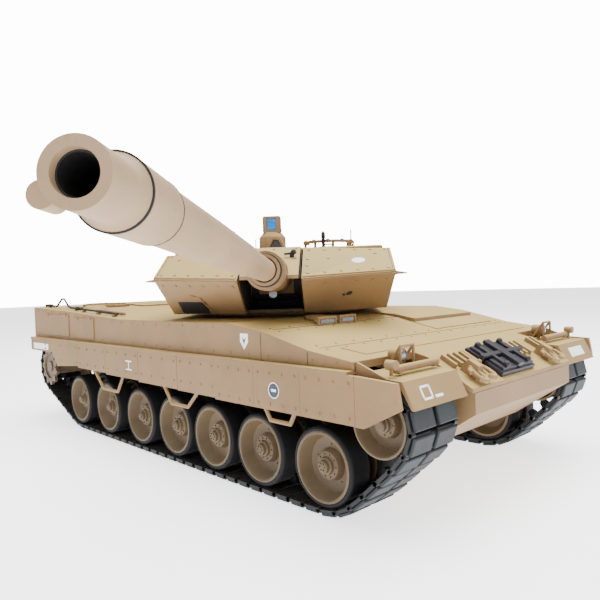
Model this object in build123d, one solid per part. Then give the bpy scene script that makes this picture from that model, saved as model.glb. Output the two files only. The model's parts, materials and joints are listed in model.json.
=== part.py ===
"""Radio-controlled model of a main battle tank at 1:16, as separate pieces in millimetres.

Row frame: the front faces -Y, +X is the tank's own left and +Z is up. The origin lies on the
flat hull floor, straight under the turret axis. Heights below are written from the ground, and
save() takes BELLY_Z off them. The turret is built facing forward and turned by TURRET_YAW.
"""

import os
from math import asin, atan2, cos, degrees, hypot, pi, radians, sin, sqrt

from build123d import *

# ---- running gear -------------------------------------------------------------------------
TRACK_X = 87.0            # centre of each track, from the centreline
TRACK_WIDTH = 39.6
WHEEL_Y = (-141.0, -88.8, -40.5, 6.6, 56.2, 112.0, 168.0)
WHEEL_Z = 27.0            # height of the road wheel axles
TYRE_R = 21.9
TYRE_DEPTH = 2.5          # rubber over the rim
DISC_WIDTH = 15.2         # each half of a double wheel
HORN_GAP = 7.6            # slot between the two halves
IDLER_Y, IDLER_Z, IDLER_R = -180.6, 55.2, 16.4
SPROCKET_Y, SPROCKET_Z = 239.0, 52.0
SPROCKET_TEETH = 11
ROLLER_Y = (-130.0, -30.0, 66.0, 164.0)
ROLLER_R = 6.0
LINKS = 82                # per track
LINK_THICK = 2.6
PAD_THICK = 2.0
LINK_GAP = 1.3            # between neighbouring links
BEND_LEAD = 2.5           # the track lifts off the ground this far beyond the end wheels
HORN_H = 6.0
TRACK_CLEAR = 0.4         # wheel surface to link plate
ARM_REACH, ARM_DROP = 24.0, 9.0   # swing arm, pivot to axle
ARM_THICK = 4.0
ARM_LIFT = 12.0           # degrees of suspension travel
AXLE_R = 1.95
PIVOT_R = 3.0
SHAFT_R = 3.0
RUN_FIT = 0.05            # radial, for shafts that turn
SEAT_FIT = 0.1            # radial, for pieces pushed together

# ---- hull ---------------------------------------------------------------------------------
BELLY_Z = 31.0
TUB_HALF = 60.0
WALL = 2.0
NOSE_Y, NOSE_TOP_Z, NOSE_LOW_Z = -207.0, 67.0, 56.0
NOSE_KNEE = (-181.0, 84.0)
FLOOR_FRONT_Y, FLOOR_REAR_Y = -170.0, 236.0
REAR_Y = 257.0
TUB_TOP_Z = 80.0
SPONSON_Z = 82.5
SIDE_X = 112.0            # upper side plates
SKIRT_X = SIDE_X + 5.2    # outer face of the skirts
SKIRT_THICK = 2.6
STEP_TOP_Z = 60.5         # ends of the foot steps, on the skirts
DECK_Z = 103.0
DECK_LINE = ((-171.0, 86.5), (-139.5, 90.6), (-101.5, 99.4), (-73.0, DECK_Z), (71.0, DECK_Z),
             (165.0, 108.0), (REAR_Y, 111.7))
GUARD_TIP_Y, GUARD_TIP_Z = -205.3, 66.3
GUARD_TOP_Y, GUARD_TOP_Z = -198.8, 79.1
GUARD_IN_X, GUARD_OUT_X = TUB_HALF + 3.6, SIDE_X - 1.6
FENDER_Z = 80.6
JOINT_GAP = 0.2           # between pieces that are screwed together
POST_Y = (-139.0, -41.0, 60.0, 200.0)      # screw posts, clear of the arm bearings
POST_IN = 5.0             # post axis inside the tub wall
LUG_X = {-1: -49.0, 1: 40.0}               # towing lugs on the nose
SPARE_X = -8.0                             # middle of the spare links
BATTERY_DOOR = (60.0, 110.0)
BATTERY_Y = 40.0
SWITCH_X, SWITCH_Y = 36.0, -70.0
DRIVER_XY = (-45.0, -87.0)
DRIVER_R = 12.3
DRIVER_PIVOT = (-60.0, -97.0)
DRIVER_PIN_R = 1.2
CABLE_R = 1.0
CABLE_X, CABLE_Y = 11.0 - SIDE_X, 178.0

# ---- turret (facing forward, from its own axis) ---------------------------------------------
TURRET_YAW = -46.5        # degrees about +Z: the gun points over the tank's right
RING_R = 57.6
RING_CLEAR = 0.4
MANTLET_HALF = 18.2
WEDGE_IN_X = MANTLET_HALF + 1.8
TIP_IN = (WEDGE_IN_X, -128.0, 129.2)
TIP_OUT = (82.5, -93.0, 132.4)
WEDGE_TOP_Z, WEDGE_LOW_Z = 150.5, 106.5
TOP_IN_Y, TOP_OUT = -79.0, (83.3, -51.5)
LOW_IN_Y, LOW_OUT = -90.0, (79.5, -52.5)
ROOF_Z = 154.5
SHELL_LOW_Z = 106.8
BUSTLE_LOW_Z = 117.0
BUSTLE_HALF = 64.0
SHELL_NOSE = (20.0, -76.5)   # corner of the shell behind each wedge's inner end
SHELL_CHEEK_Y = -49.5
SHELL_WALL, ROOF_WALL = 3.0, 2.5
WEDGE_GAP = 0.3
BUSTLE_REAR_Y = 158.0
TRUNNION_Y, TRUNNION_Z = -60.0, 131.5
GUN_SLOPE = 1.8           # degrees above level
ROTOR_R = 16.5
COLLAR_R, COLLAR_REACH = 11.6, 146.0
LIP_R, LIP_REACH = 9.2, 152.0
SLEEVE_R, SLEEVE_REACH = 7.3, 144.0
NECK_R, NECK_REACH = 6.5, 232.0
BARREL_R, BARREL_TIP_R = 7.0, 6.6
MUZZLE_REACH, MUZZLE_R, BORE_R = 399.0, 5.6, 3.75
BARREL_ROOT = 72.0

COMMANDER_XY = (-33.0, 14.0)
LOADER_XY = (38.0, 14.0)
HATCH_R = 17.0
HINGE_UP, KNUCKLE_R = 1.5, 1.1    # hatch hinges, above the roof
COMMANDER_HINGE, LOADER_HINGE = 17.2, 15.2    # hinge pins, from the middle of the hatch
RING_OPEN = 8.0           # the loader's ring is open beyond this, towards the hinge
SIGHT_XY = (-12.0, 40.0)
SIGHT_SPIGOT = 4.0
SIGHT_TOP_Z = 187.6
GUARD_TOP = 173.6
HOOD_X = -3.5             # arched hood of the gunner's sight
GUARD_X, GUARD_Y = (-64.0, -46.0), 36.0    # bar frame beside the sight


# ---- helpers ------------------------------------------------------------------------------
def box(x0, x1, y0, y1, z0, z1):
    return Solid.make_box(x1 - x0, y1 - y0, z1 - z0, Plane((x0, y0, z0)))


def rod(r, a, b):
    """Cylinder of radius r from point a to point b."""
    a, b = Vector(*a), Vector(*b)
    return Solid.make_cylinder(r, (b - a).length, Plane(origin=a, z_dir=b - a))


def tube(outer, inner, a, b):
    return rod(outer, a, b) - rod(inner, a, b)


def prism(points, along):
    """Flat polygon swept along a straight vector."""
    return Solid.extrude(Face(Wire.make_polygon([Vector(*p) for p in points], close=True)),
                         Vector(*along))


def prism_x(outline, x0, x1):
    """(y, z) outline swept from x0 to x1."""
    return prism([(x0, y, z) for y, z in outline], (x1 - x0, 0, 0))


def prism_z(outline, z0, z1):
    """(x, y) outline swept from z0 to z1."""
    return prism([(x, y, z0) for x, y in outline], (0, 0, z1 - z0))


def facets(points, faces):
    """Closed solid with flat faces, each a tuple of indices into points."""
    skins = [Face(Wire.make_polygon([Vector(*points[i]) for i in f], close=True)) for f in faces]
    return Solid(Shell(skins))


def lathe(profile, centre, direction):
    """(distance along, radius) outline turned about a line through centre."""
    base = Plane(origin=Vector(*centre), z_dir=Vector(*direction))
    face = Face(Wire.make_polygon([Vector(r, 0, d) for d, r in profile], close=True))
    return base.location * Solid.revolve(face, 360, Axis.Z)


def flip(shapes):
    """Mirror images across the centreline."""
    return [mirror(s, about=Plane.YZ) for s in shapes]


def both(shapes):
    return list(shapes) + flip(shapes)


def ring_points(count, radius, start=0.0):
    return [(radius * cos(start + 2 * pi * i / count), radius * sin(start + 2 * pi * i / count))
            for i in range(count)]


def solids_of(shapes):
    return [s for shape in shapes for s in shape.solids()]


def save(name, shapes, turret=False):
    """Write one node, moved into the row frame."""
    place = Location((0, 0, -BELLY_Z))
    if turret:
        place = place * Location((0, 0, 0), (0, 0, TURRET_YAW))
    export_step(Compound(children=[s.moved(place) for s in solids_of(shapes)]),
                f"parts/{name}.step")


# ---- track --------------------------------------------------------------------------------
def link_pitch_radius(wheel_r, pitch):
    """Pin circle that keeps the flat links clear of a wheel they wrap."""
    return wheel_r + TRACK_CLEAR + LINK_THICK / 2 + pitch * pitch / (8 * wheel_r)


def track_circles(pitch):
    """Circles (y, z, r) that the line of pins runs round, in order, seen from the right."""
    pin_z = WHEEL_Z - TYRE_R - TRACK_CLEAR - LINK_THICK / 2
    end_r = link_pitch_radius(TYRE_R, pitch)
    return ((WHEEL_Y[0] - BEND_LEAD, pin_z + end_r, end_r),
            (IDLER_Y, IDLER_Z, link_pitch_radius(IDLER_R, pitch)),
            (SPROCKET_Y, SPROCKET_Z, pitch / (2 * sin(pi / SPROCKET_TEETH))),
            (WHEEL_Y[-1] + BEND_LEAD, pin_z + end_r, end_r))


def track_path(pitch):
    """The closed pin line as straight runs and arcs, clockwise in (y, z)."""
    circles = track_circles(pitch)
    runs = []
    for (y0, z0, r0), (y1, z1, r1) in zip(circles, circles[1:] + circles[:1]):
        reach = hypot(y1 - y0, z1 - z0)
        heading = atan2(z1 - z0, y1 - y0)
        side = heading + pi / 2 + asin((r1 - r0) / reach)
        runs.append(((y0 + r0 * cos(side), z0 + r0 * sin(side)),
                     (y1 + r1 * cos(side), z1 + r1 * sin(side)), side))
    pieces = []
    for i, (start, end, side) in enumerate(runs):
        pieces.append(("line", start, end, hypot(end[0] - start[0], end[1] - start[1])))
        after = runs[(i + 1) % len(runs)][2]
        turn = (side - after) % (2 * pi)
        cy, cz, r = circles[(i + 1) % len(circles)]
        pieces.append(("arc", (cy, cz, r, side), turn, turn * r))
    return pieces


def on_path(pieces, s):
    """Point at distance s along the pin line."""
    for kind, a, b, length in pieces:
        if s <= length:
            if kind == "line":
                t = s / length
                return a[0] + (b[0] - a[0]) * t, a[1] + (b[1] - a[1]) * t
            cy, cz, r, side = a
            angle = side - b * s / length
            return cy + r * cos(angle), cz + r * sin(angle)
        s -= length
    return on_path(pieces, s)


def pin_places():
    """Where the link pins sit, spaced evenly round the track."""
    pitch = 11.5
    for _ in range(20):
        pieces = track_path(pitch)
        pitch = sum(p[3] for p in pieces) / LINKS
    pieces = track_path(pitch)
    return [on_path(pieces, i * pitch) for i in range(LINKS)], pitch


def track(pins):
    """One track on the tank's right: each link a plate with a horn inside and two pads outside."""
    links = []
    x = -TRACK_X
    half = TRACK_WIDTH / 2
    pad_half = half - 1.0
    for (y0, z0), (y1, z1) in zip(pins, pins[1:] + pins[:1]):
        length = hypot(y1 - y0, z1 - z0)
        a, b = LINK_GAP / 2, length - LINK_GAP / 2
        top, low = LINK_THICK / 2, -LINK_THICK / 2
        link = box(x - half, x + half, a, b, low, top)
        horn = prism([(x - 2.0, a + 2.4, low - HORN_H), (x - 2.0, b - 2.4, low - HORN_H),
                      (x - 2.0, b - 1.2, low + 0.5), (x - 2.0, a + 1.2, low + 0.5)], (4.0, 0, 0))
        pads = [box(x + u * pad_half if u < 0 else x + 1.0, x - 1.0 if u < 0 else x + pad_half,
                    a + 0.7, b - 0.7, top - 0.3, top + PAD_THICK) for u in (-1, 1)]
        link = link + horn + pads[0] + pads[1]
        turn = degrees(atan2(z1 - z0, y1 - y0))
        links.append(Location((0, y0, z0), (turn, 0, 0)) * link)
    return links


# ---- wheels on the tank's right ---------------------------------------------------------------
WHEEL_IN = TRACK_X - HORN_GAP / 2 - DISC_WIDTH     # inner face of a wheel, from the centreline
WHEEL_OUT = TRACK_X + HORN_GAP / 2 + DISC_WIDTH


def halves():
    return ((WHEEL_IN, WHEEL_IN + DISC_WIDTH), (WHEEL_OUT - DISC_WIDTH, WHEEL_OUT))


def dished_wheel(y, z, rim_r, rim_thick, hub_r, bore_r, bolts):
    """Two dished discs joined by a hub, hollow on the axle from the inside."""
    (a0, a1), (b0, b1) = halves()
    at = lambda d: (-d, y, z)
    body = tube(rim_r, rim_r - rim_thick, at(a0), at(a1)) + rod(rim_r - 0.2, at(a1 - 2.4), at(a1))
    body += tube(rim_r, rim_r - rim_thick, at(b0), at(b1)) + rod(rim_r - 0.2, at(b0), at(b0 + 2.4))
    body += rod(hub_r, at(a0 + 1.0), at(b1 - 3.5))
    body += lathe([(0, 0.001), (0, rim_r - rim_thick), (0.6, rim_r - rim_thick),
                   (5.0, hub_r), (5.0, 0.001)], at(b0 + 2.3), (-1, 0, 0))
    body += rod(hub_r * 0.62, at(b1 - 3.6), at(b1 - 0.6))
    for py, pz in ring_points(bolts, hub_r * 0.82):
        body += rod(0.65, (-(b1 - 3.7), y + py, z + pz), (-(b1 - 2.9), y + py, z + pz))
    return body - rod(bore_r, at(a0 - 1), at(b1 - 7.5))


def road_wheel(y, z):
    rim = TYRE_R - TYRE_DEPTH
    discs = dished_wheel(y, z, rim, 2.2, 7.4, AXLE_R + RUN_FIT, 10)
    tyres = [tube(TYRE_R, rim + RUN_FIT, (-a, y, z), (-b, y, z)) for a, b in halves()]
    return [discs] + tyres


def swing_arm(y, z):
    """Trailing arm with its pivot ahead of the axle; the axle carries the wheel."""
    x0 = TUB_HALF + 1.0
    x1 = x0 + ARM_THICK
    py, pz = y - ARM_REACH, z + ARM_DROP
    arm = rod(5.2, (-x0, py, pz), (-x1, py, pz)) + rod(4.2, (-x0, y, z), (-x1, y, z))
    length = hypot(ARM_REACH, ARM_DROP)
    uy, uz = -ARM_DROP / length * 3.6, -ARM_REACH / length * 3.6
    arm += prism([(-x0, py - uy, pz - uz), (-x0, py + uy, pz + uz),
                  (-x0, y + uy, z + uz), (-x0, y - uy, z - uz)], (-ARM_THICK, 0, 0))
    arm += rod(PIVOT_R, (-x0 - 0.5, py, pz), (-(TUB_HALF - 8.5), py, pz))
    return arm + rod(AXLE_R, (-x1 + 0.5, y, z), (-(WHEEL_OUT - 8.4), y, z))


def idler():
    return [dished_wheel(IDLER_Y, IDLER_Z, IDLER_R, 2.2, 6.6, AXLE_R + 0.5 + RUN_FIT, 8)]


def sprocket(pitch):
    """Two toothed rings on a drum, with the shaft that runs into the gearbox."""
    y, z = SPROCKET_Y, SPROCKET_Z
    tip = pitch / (2 * sin(pi / SPROCKET_TEETH)) * cos(pi / SPROCKET_TEETH) \
        - LINK_THICK / 2 - 0.6
    root = tip - 3.2
    outline = []
    for i in range(SPROCKET_TEETH):
        for share, r in ((-0.36, root), (-0.17, tip), (0.17, tip), (0.36, root)):
            angle = 2 * pi * (i + share) / SPROCKET_TEETH
            outline.append((y + r * cos(angle), z + r * sin(angle)))
    gear = None
    for a, b in ((WHEEL_IN, WHEEL_IN + 2.6), (WHEEL_OUT - 2.6, WHEEL_OUT)):
        disc = prism_x(outline, -a, -b)
        gear = disc if gear is None else gear + disc
    drum_r = root - HORN_H - 1.0
    gear += rod(drum_r, (-WHEEL_IN - 0.5, y, z), (-WHEEL_OUT + 0.5, y, z))
    cup = rod(root - 3.4, (-WHEEL_OUT - 1, y, z), (-WHEEL_OUT + 1.4, y, z))
    gear -= cup - rod(5.5, (-WHEEL_OUT - 1, y, z), (-WHEEL_OUT + 2, y, z))
    for py, pz in ring_points(10, root - 1.9):
        gear -= rod(1.0, (-WHEEL_OUT - 1, y + py, z + pz), (-WHEEL_OUT + 3.6, y + py, z + pz))
    return gear + rod(SHAFT_R, (-WHEEL_IN - 1, y, z), (-(TUB_HALF - 20), y, z))


def top_run_z(y, pitch):
    """Height of the track's inner face over station y on the return run."""
    (_, start, end, _), = [p for p in track_path(pitch)[2:3]]
    t = (y - start[0]) / (end[0] - start[0])
    return start[1] + (end[1] - start[1]) * t - LINK_THICK / 2


def return_rollers(pitch):
    rollers = []
    for y in ROLLER_Y:
        z = top_run_z(y, pitch) - TRACK_CLEAR - ROLLER_R
        rollers.append(rod(ROLLER_R, (-WHEEL_IN - 2, y, z), (-TRACK_X + HORN_GAP / 2, y, z))
                       + rod(2.4, (-TUB_HALF, y, z), (-WHEEL_IN - 3, y, z)))
    return rollers


# ---- hull ---------------------------------------------------------------------------------
def tub():
    """Lower hull: an open tray with the bearings for arms, idlers and sprockets."""
    outer = [(FLOOR_FRONT_Y, BELLY_Z), (NOSE_Y, NOSE_LOW_Z), (NOSE_Y, NOSE_TOP_Z),
             (-165.0, TUB_TOP_Z), (REAR_Y - 3, TUB_TOP_Z), (REAR_Y - 3, 60.0),
             (FLOOR_REAR_Y, BELLY_Z)]
    inner = [(FLOOR_FRONT_Y + 1, BELLY_Z + WALL), (NOSE_Y + 3, NOSE_LOW_Z + 1),
             (NOSE_Y + 3, TUB_TOP_Z + 5), (REAR_Y - 3 - WALL, TUB_TOP_Z + 5),
             (REAR_Y - 3 - WALL, 60.6), (FLOOR_REAR_Y - 1, BELLY_Z + WALL)]
    body = prism_x(outer, -TUB_HALF, TUB_HALF) - prism_x(inner, WALL - TUB_HALF, TUB_HALF - WALL)
    body -= box(-BATTERY_DOOR[0] / 2, BATTERY_DOOR[0] / 2, *door_span(), BELLY_Z - 1,
                BELLY_Z + WALL + 1)
    body -= box(SWITCH_X - 5, SWITCH_X + 5, SWITCH_Y - 2.5, SWITCH_Y + 2.5, BELLY_Z - 1,
                BELLY_Z + WALL + 1)
    for s in (-1, 1):
        for y in WHEEL_Y:
            py, pz = y - ARM_REACH, WHEEL_Z + ARM_DROP
            body += rod(5.5, (s * (TUB_HALF - WALL), py, pz), (s * (TUB_HALF - 8), py, pz))
            body -= rod(PIVOT_R + RUN_FIT, (s * (TUB_HALF + 1), py, pz),
                        (s * (TUB_HALF - 9), py, pz))
        body += rod(AXLE_R + 0.5, (s * (TUB_HALF - 1), IDLER_Y, IDLER_Z),
                    (s * (WHEEL_OUT - 8.4), IDLER_Y, IDLER_Z))
        body += rod(6.0, (s * (TUB_HALF - 1), IDLER_Y, IDLER_Z),
                    (s * (TUB_HALF + 4), IDLER_Y, IDLER_Z))
        body -= rod(SHAFT_R + 0.4, (s * (TUB_HALF + 1), SPROCKET_Y, SPROCKET_Z),
                    (s * (TUB_HALF - 4), SPROCKET_Y, SPROCKET_Z))
    for y in POST_Y:
        for s in (-1, 1):
            x = s * (TUB_HALF - POST_IN)
            post = rod(3.6, (x, y, BELLY_Z + 1), (x, y, TUB_TOP_Z))
            body += post
            body -= rod(1.2, (x, y, TUB_TOP_Z - 12), (x, y, TUB_TOP_Z + 1))
    return body


def door_span(clear=0.0):
    return BATTERY_Y - BATTERY_DOOR[1] / 2 + clear, BATTERY_Y + BATTERY_DOOR[1] / 2 - clear


def deck_z(y):
    """Height of the deck over station y."""
    for (y0, z0), (y1, z1) in zip(DECK_LINE, DECK_LINE[1:]):
        if y <= y1:
            return z0 + (z1 - z0) * (y - y0) / (y1 - y0)
    return DECK_LINE[-1][1]


def upper_hull():
    """Deck, glacis and sponsons in one hollow moulding, open underneath."""
    sides = prism_x(((DECK_LINE[0][0], SPONSON_Z),) + DECK_LINE + ((REAR_Y, SPONSON_Z),),
                    -SIDE_X, SIDE_X)
    nose = prism_x([(NOSE_Y, NOSE_TOP_Z + JOINT_GAP), (NOSE_Y, NOSE_TOP_Z + 2.5), NOSE_KNEE,
                    DECK_LINE[0], (-160, 87.0), (-160, 82.0)], -TUB_HALF - 2, TUB_HALF + 2)
    skin = sides + nose
    inside = prism_x([(DECK_LINE[0][0] + 3, SPONSON_Z + WALL)]
                     + [(y, z - WALL - 0.4) for y, z in DECK_LINE[1:-1]]
                     + [(REAR_Y - 3, DECK_LINE[-1][1] - WALL), (REAR_Y - 3, SPONSON_Z + WALL)],
                     WALL - SIDE_X, SIDE_X - WALL)
    skin -= inside
    skin -= box(WALL - TUB_HALF, TUB_HALF - WALL, -157, REAR_Y - 3, SPONSON_Z - 1,
                SPONSON_Z + WALL + 0.1)
    skin += box(-TUB_HALF, TUB_HALF, REAR_Y - 3, REAR_Y, 60, SPONSON_Z + 1)
    for s in (-1, 1):
        wall = prism_x([(-164.0, TUB_TOP_Z + JOINT_GAP), (REAR_Y - 2, TUB_TOP_Z + JOINT_GAP),
                        (REAR_Y - 2, SPONSON_Z + 1), (-164.0, SPONSON_Z + 1)],
                       s * TUB_HALF, s * (TUB_HALF - WALL))
        skin += wall
    skin -= rod(RING_R + RING_CLEAR, (0, 0, DECK_Z - 8), (0, 0, DECK_Z + 5))
    skin -= rod(DRIVER_R - 2.0, (*DRIVER_XY, 90), (*DRIVER_XY, 112))
    pivot_hole = Solid.make_cylinder(DRIVER_PIN_R + RUN_FIT, 9, Plane((0, 0, -6)))
    skin -= driver_place() * pivot_hole
    cover = prism_x([(-117.5, deck_z(-117.5) - 1), (-117.5, deck_z(-117.5) + 3.0),
                     (-100.0, 101.8), (-73.0, DECK_Z), (-100.0, deck_z(-100) - 1)], 17.0, 95.0)
    return skin + cover


def driver_slope():
    """Slope of the deck band that the driver's hatch turns on, in degrees."""
    return degrees(atan2(deck_z(-75) - deck_z(-100), 25))


def driver_place():
    """Frame on the deck at the hatch's pivot, square to the plate."""
    px, py = DRIVER_PIVOT
    return Location((px, py, deck_z(py)), (driver_slope(), 0, 0))


def driver_hatch():
    """Round lid on the sloping deck, on an arm that swings outboard about a pivot pin."""
    (x, y), (px, py) = DRIVER_XY, DRIVER_PIVOT
    dx, dy = x - px, (y - py) / cos(radians(driver_slope()))
    reach = hypot(dx, dy)
    ux, uy = -dy / reach * 2.4, dx / reach * 2.4
    lid = Solid.make_cylinder(DRIVER_R, 1.5, Plane((dx, dy, 0.25)))
    lid += Solid.make_cylinder(DRIVER_R - 3.5, 0.5, Plane((dx, dy, 1.6)))
    lid += prism([(ux, uy, 0.25), (-ux, -uy, 0.25), (dx - ux, dy - uy, 0.25),
                  (dx + ux, dy + uy, 0.25)], (0, 0, 1.5))
    lid += Solid.make_cylinder(2.6, 1.9, Plane((0, 0, 0.25)))
    lid += Solid.make_cylinder(DRIVER_PIN_R, 6.0, Plane((0, 0, -5.0)))
    return driver_place() * lid


def side_skirts():
    """Heavy plates at the front and light plates behind, hung on a rail along each side."""
    x0, x1 = -(SKIRT_X - SKIRT_THICK), -SKIRT_X
    plates = []
    top = FENDER_Z
    nose = [(-180.8, 56.1), (-202.2, 67.4), (-200.2, 79.4), (-175.7, top), (-175.7, 56.1)]
    plates.append(prism_x(nose, x0, x1))
    for a, b in ((-175.5, -137.9), (-137.7, -99.6), (-99.4, -61.9)):
        plates.append(prism_x([(a, 56.3), (b, 56.3), (b, top), (a, top)], x0, x1))
    light = ((-61.5, -17.7, 57.0), (-17.3, 35.8, 57.5), (36.2, 89.5, 58.5), (89.9, 143.8, 59.5))
    for a, b, low in light:
        plates.append(prism_x([(a, low), (b, low), (b, top), (a, top)], x0 - 0.4, x1 + 0.6))
    plates.append(prism_x([(144.2, 61.0), (189.8, 57.4), (202.3, 69.5), (256.0, 69.5),
                           (256.0, top), (144.2, top)], x0 - 0.4, x1 + 0.6))
    rail = box(-SKIRT_X, -(SIDE_X - 4), -171.0, 256.0, top - 0.2, SPONSON_Z - JOINT_GAP)
    strap = box(x0 - 0.3, x0 + 1.2, -179.0, -172.0, 66.0, 76.0)
    steps = []
    for y0, y1, y2, y3, low in ((113.0, 97.0, 72.0, 61.0, 46.0), (3.0, -8.0, -28.0, -43.0, 46.7),
                                (-105.0, -112.0, -128.0, -134.0, 50.2)):
        ends = [(y0, STEP_TOP_Z), (y1, low), (y2, low), (y3, STEP_TOP_Z)]
        path = [Vector(x0 + 0.9 - 1.7, y, z) for y, z in ends]
        for p, q in zip(path, path[1:]):
            steps.append(rod(1.2, p, q))
        for p in path[1:3]:
            steps.append(Solid.make_sphere(1.2, Plane(origin=p)))
    hung = plates[0]
    for piece in plates[1:] + steps + [rail, strap]:
        hung = hung + piece
    return hung


def front_mudguards():
    """Bent plates over the front of each track, screwed to the hull."""
    t = 1.6
    back = DECK_LINE[0][0] - 0.3
    outline = [(GUARD_TIP_Y, GUARD_TIP_Z), (GUARD_TOP_Y, GUARD_TOP_Z), (back, FENDER_Z),
               (back, FENDER_Z - t), (GUARD_TOP_Y + t + 0.6, GUARD_TOP_Z - t),
               (GUARD_TIP_Y + t, GUARD_TIP_Z)]
    guard = prism_x(outline, -GUARD_IN_X, -GUARD_OUT_X)
    flange = prism_x([(back, FENDER_Z - 0.5), (GUARD_TOP_Y + 6, GUARD_TOP_Z - 0.5),
                      (back, DECK_LINE[0][1])], -GUARD_OUT_X, -GUARD_OUT_X + 1.8)
    return guard + flange


# ---- turret -------------------------------------------------------------------------------
def shell_plan(inset):
    """Outline of the turret shell from above, moved inwards by a wall."""
    side, half, rear = 78 - inset, BUSTLE_HALF - inset, BUSTLE_REAR_Y - inset
    right = [(SHELL_NOSE[0], SHELL_NOSE[1] + inset), (side, SHELL_CHEEK_Y + inset), (side, 34 - inset / 3),
             (half, 62 - inset / 3), (half, rear)]
    return right + [(-x, y) for x, y in reversed(right)]


def turret_shell():
    """Main turret casting, hollow, with a slot for the mantlet and bearings for its trunnions."""
    front, rear = SHELL_NOSE[1], BUSTLE_REAR_Y
    body = prism_z(shell_plan(0.0), SHELL_LOW_Z, ROOF_Z)
    body -= prism_x([(64, SHELL_LOW_Z - 1), (rear + 1, SHELL_LOW_Z - 1), (rear + 1, BUSTLE_LOW_Z),
                     (80, BUSTLE_LOW_Z)], -90, 90)
    body -= prism_x([(front - 1, WEDGE_TOP_Z - 0.6), (-28, ROOF_Z), (-28, ROOF_Z + 2),
                     (front - 1, ROOF_Z + 2)], -90, 90)
    hollow = prism_z(shell_plan(SHELL_WALL), SHELL_LOW_Z + SHELL_WALL, ROOF_Z - ROOF_WALL)
    hollow -= prism_x([(63, 90), (rear + 1, 90), (rear + 1, BUSTLE_LOW_Z + SHELL_WALL),
                       (78, BUSTLE_LOW_Z + SHELL_WALL)], -90, 90)
    hollow -= prism_x([(front - 1, WEDGE_TOP_Z - 3.2), (-26, ROOF_Z - 2.6), (-26, ROOF_Z + 2),
                       (front - 1, ROOF_Z + 2)], -90, 90)
    slot = MANTLET_HALF + 1.0
    for s in (-1, 1):
        hollow -= box(min(s * slot, s * (slot + 3.4)), max(s * slot, s * (slot + 3.4)),
                      front, -34, 100, 170)
    body -= hollow
    body -= box(-slot, slot, front - 1, -36, SHELL_LOW_Z + 1.6, WEDGE_TOP_Z - 1.5)
    body -= box(-slot, slot, front - 1, -64, SHELL_LOW_Z + 1.6, ROOF_Z + 1)
    body -= rod(PIVOT_R + RUN_FIT, (-slot - 4, TRUNNION_Y, TRUNNION_Z),
                (slot + 4, TRUNNION_Y, TRUNNION_Z))
    for x, y in (COMMANDER_XY, LOADER_XY):
        body -= rod(HATCH_R - 3.0, (x, y, ROOF_Z - 5), (x, y, ROOF_Z + 2))
    body -= rod(SIGHT_SPIGOT + RUN_FIT, (*SIGHT_XY, ROOF_Z - 5), (*SIGHT_XY, ROOF_Z + 2))
    body -= rod(40.0, (0, 0, SHELL_LOW_Z - 1), (0, 0, SHELL_LOW_Z + 4))
    return body


def wedge():
    """Arrow-shaped armour module on the tank's left side of the gun."""
    inner_y = SHELL_NOSE[1] - WEDGE_GAP
    outer = (78 + WEDGE_GAP, SHELL_CHEEK_Y - WEDGE_GAP)
    points = [TIP_IN, TIP_OUT, (WEDGE_IN_X, TOP_IN_Y, WEDGE_TOP_Z), (*TOP_OUT, WEDGE_TOP_Z),
              (WEDGE_IN_X, LOW_IN_Y, WEDGE_LOW_Z), (*LOW_OUT, WEDGE_LOW_Z),
              (WEDGE_IN_X, inner_y, WEDGE_TOP_Z), (WEDGE_IN_X, inner_y, WEDGE_LOW_Z),
              (*outer, WEDGE_TOP_Z), (*outer, WEDGE_LOW_Z)]
    faces = [(2, 3, 8), (2, 8, 6), (0, 1, 3), (0, 3, 2), (0, 4, 5), (0, 5, 1), (0, 2, 6), (0, 6, 7),
             (0, 7, 4), (1, 3, 8), (1, 8, 9), (1, 9, 5), (6, 8, 9, 7), (4, 7, 9), (4, 9, 5)]
    return facets(points, faces)


def turret_ring():
    """Bearing ring under the turret with the spigot that drops into the deck."""
    ring = tube(RING_R + 3.5, RING_R - 7.6, (0, 0, DECK_Z + 0.4), (0, 0, SHELL_LOW_Z - JOINT_GAP))
    ring += tube(RING_R, RING_R - 3.6, (0, 0, DECK_Z - 6), (0, 0, DECK_Z + 1))
    return ring


def at_reach(reach, x=0.0, up=0.0):
    """Point on the gun's axis at a distance forward of the turret axis."""
    s = radians(GUN_SLOPE)
    d = (reach + TRUNNION_Y) / cos(s)
    return x, TRUNNION_Y - d * cos(s) + up * sin(s), TRUNNION_Z + d * sin(s) + up * cos(s)


def mantlet():
    """Rotor on trunnions with the sloping cover plate and the collar for the gun."""
    h = MANTLET_HALF
    rotor = rod(ROTOR_R, (-h, TRUNNION_Y, TRUNNION_Z), (h, TRUNNION_Y, TRUNNION_Z))
    plate = prism_x([(-79.5, 151.9), (-126.5, 131.6), (-127.0, 129.4), (-104.0, 129.4),
                     (-79.5, 137.0), (-74.0, 136.0), (-74.0, 151.9)], -h, h)
    body = rotor + plate
    body += rod(COLLAR_R, at_reach(66), at_reach(COLLAR_REACH))
    body += rod(LIP_R, at_reach(66), at_reach(LIP_REACH))
    body += rod(PIVOT_R, (-h - 4, TRUNNION_Y, TRUNNION_Z), (h + 4, TRUNNION_Y, TRUNNION_Z))
    return body - rod(SLEEVE_R + RUN_FIT, at_reach(BARREL_ROOT - 14), at_reach(LIP_REACH + 2))


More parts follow.
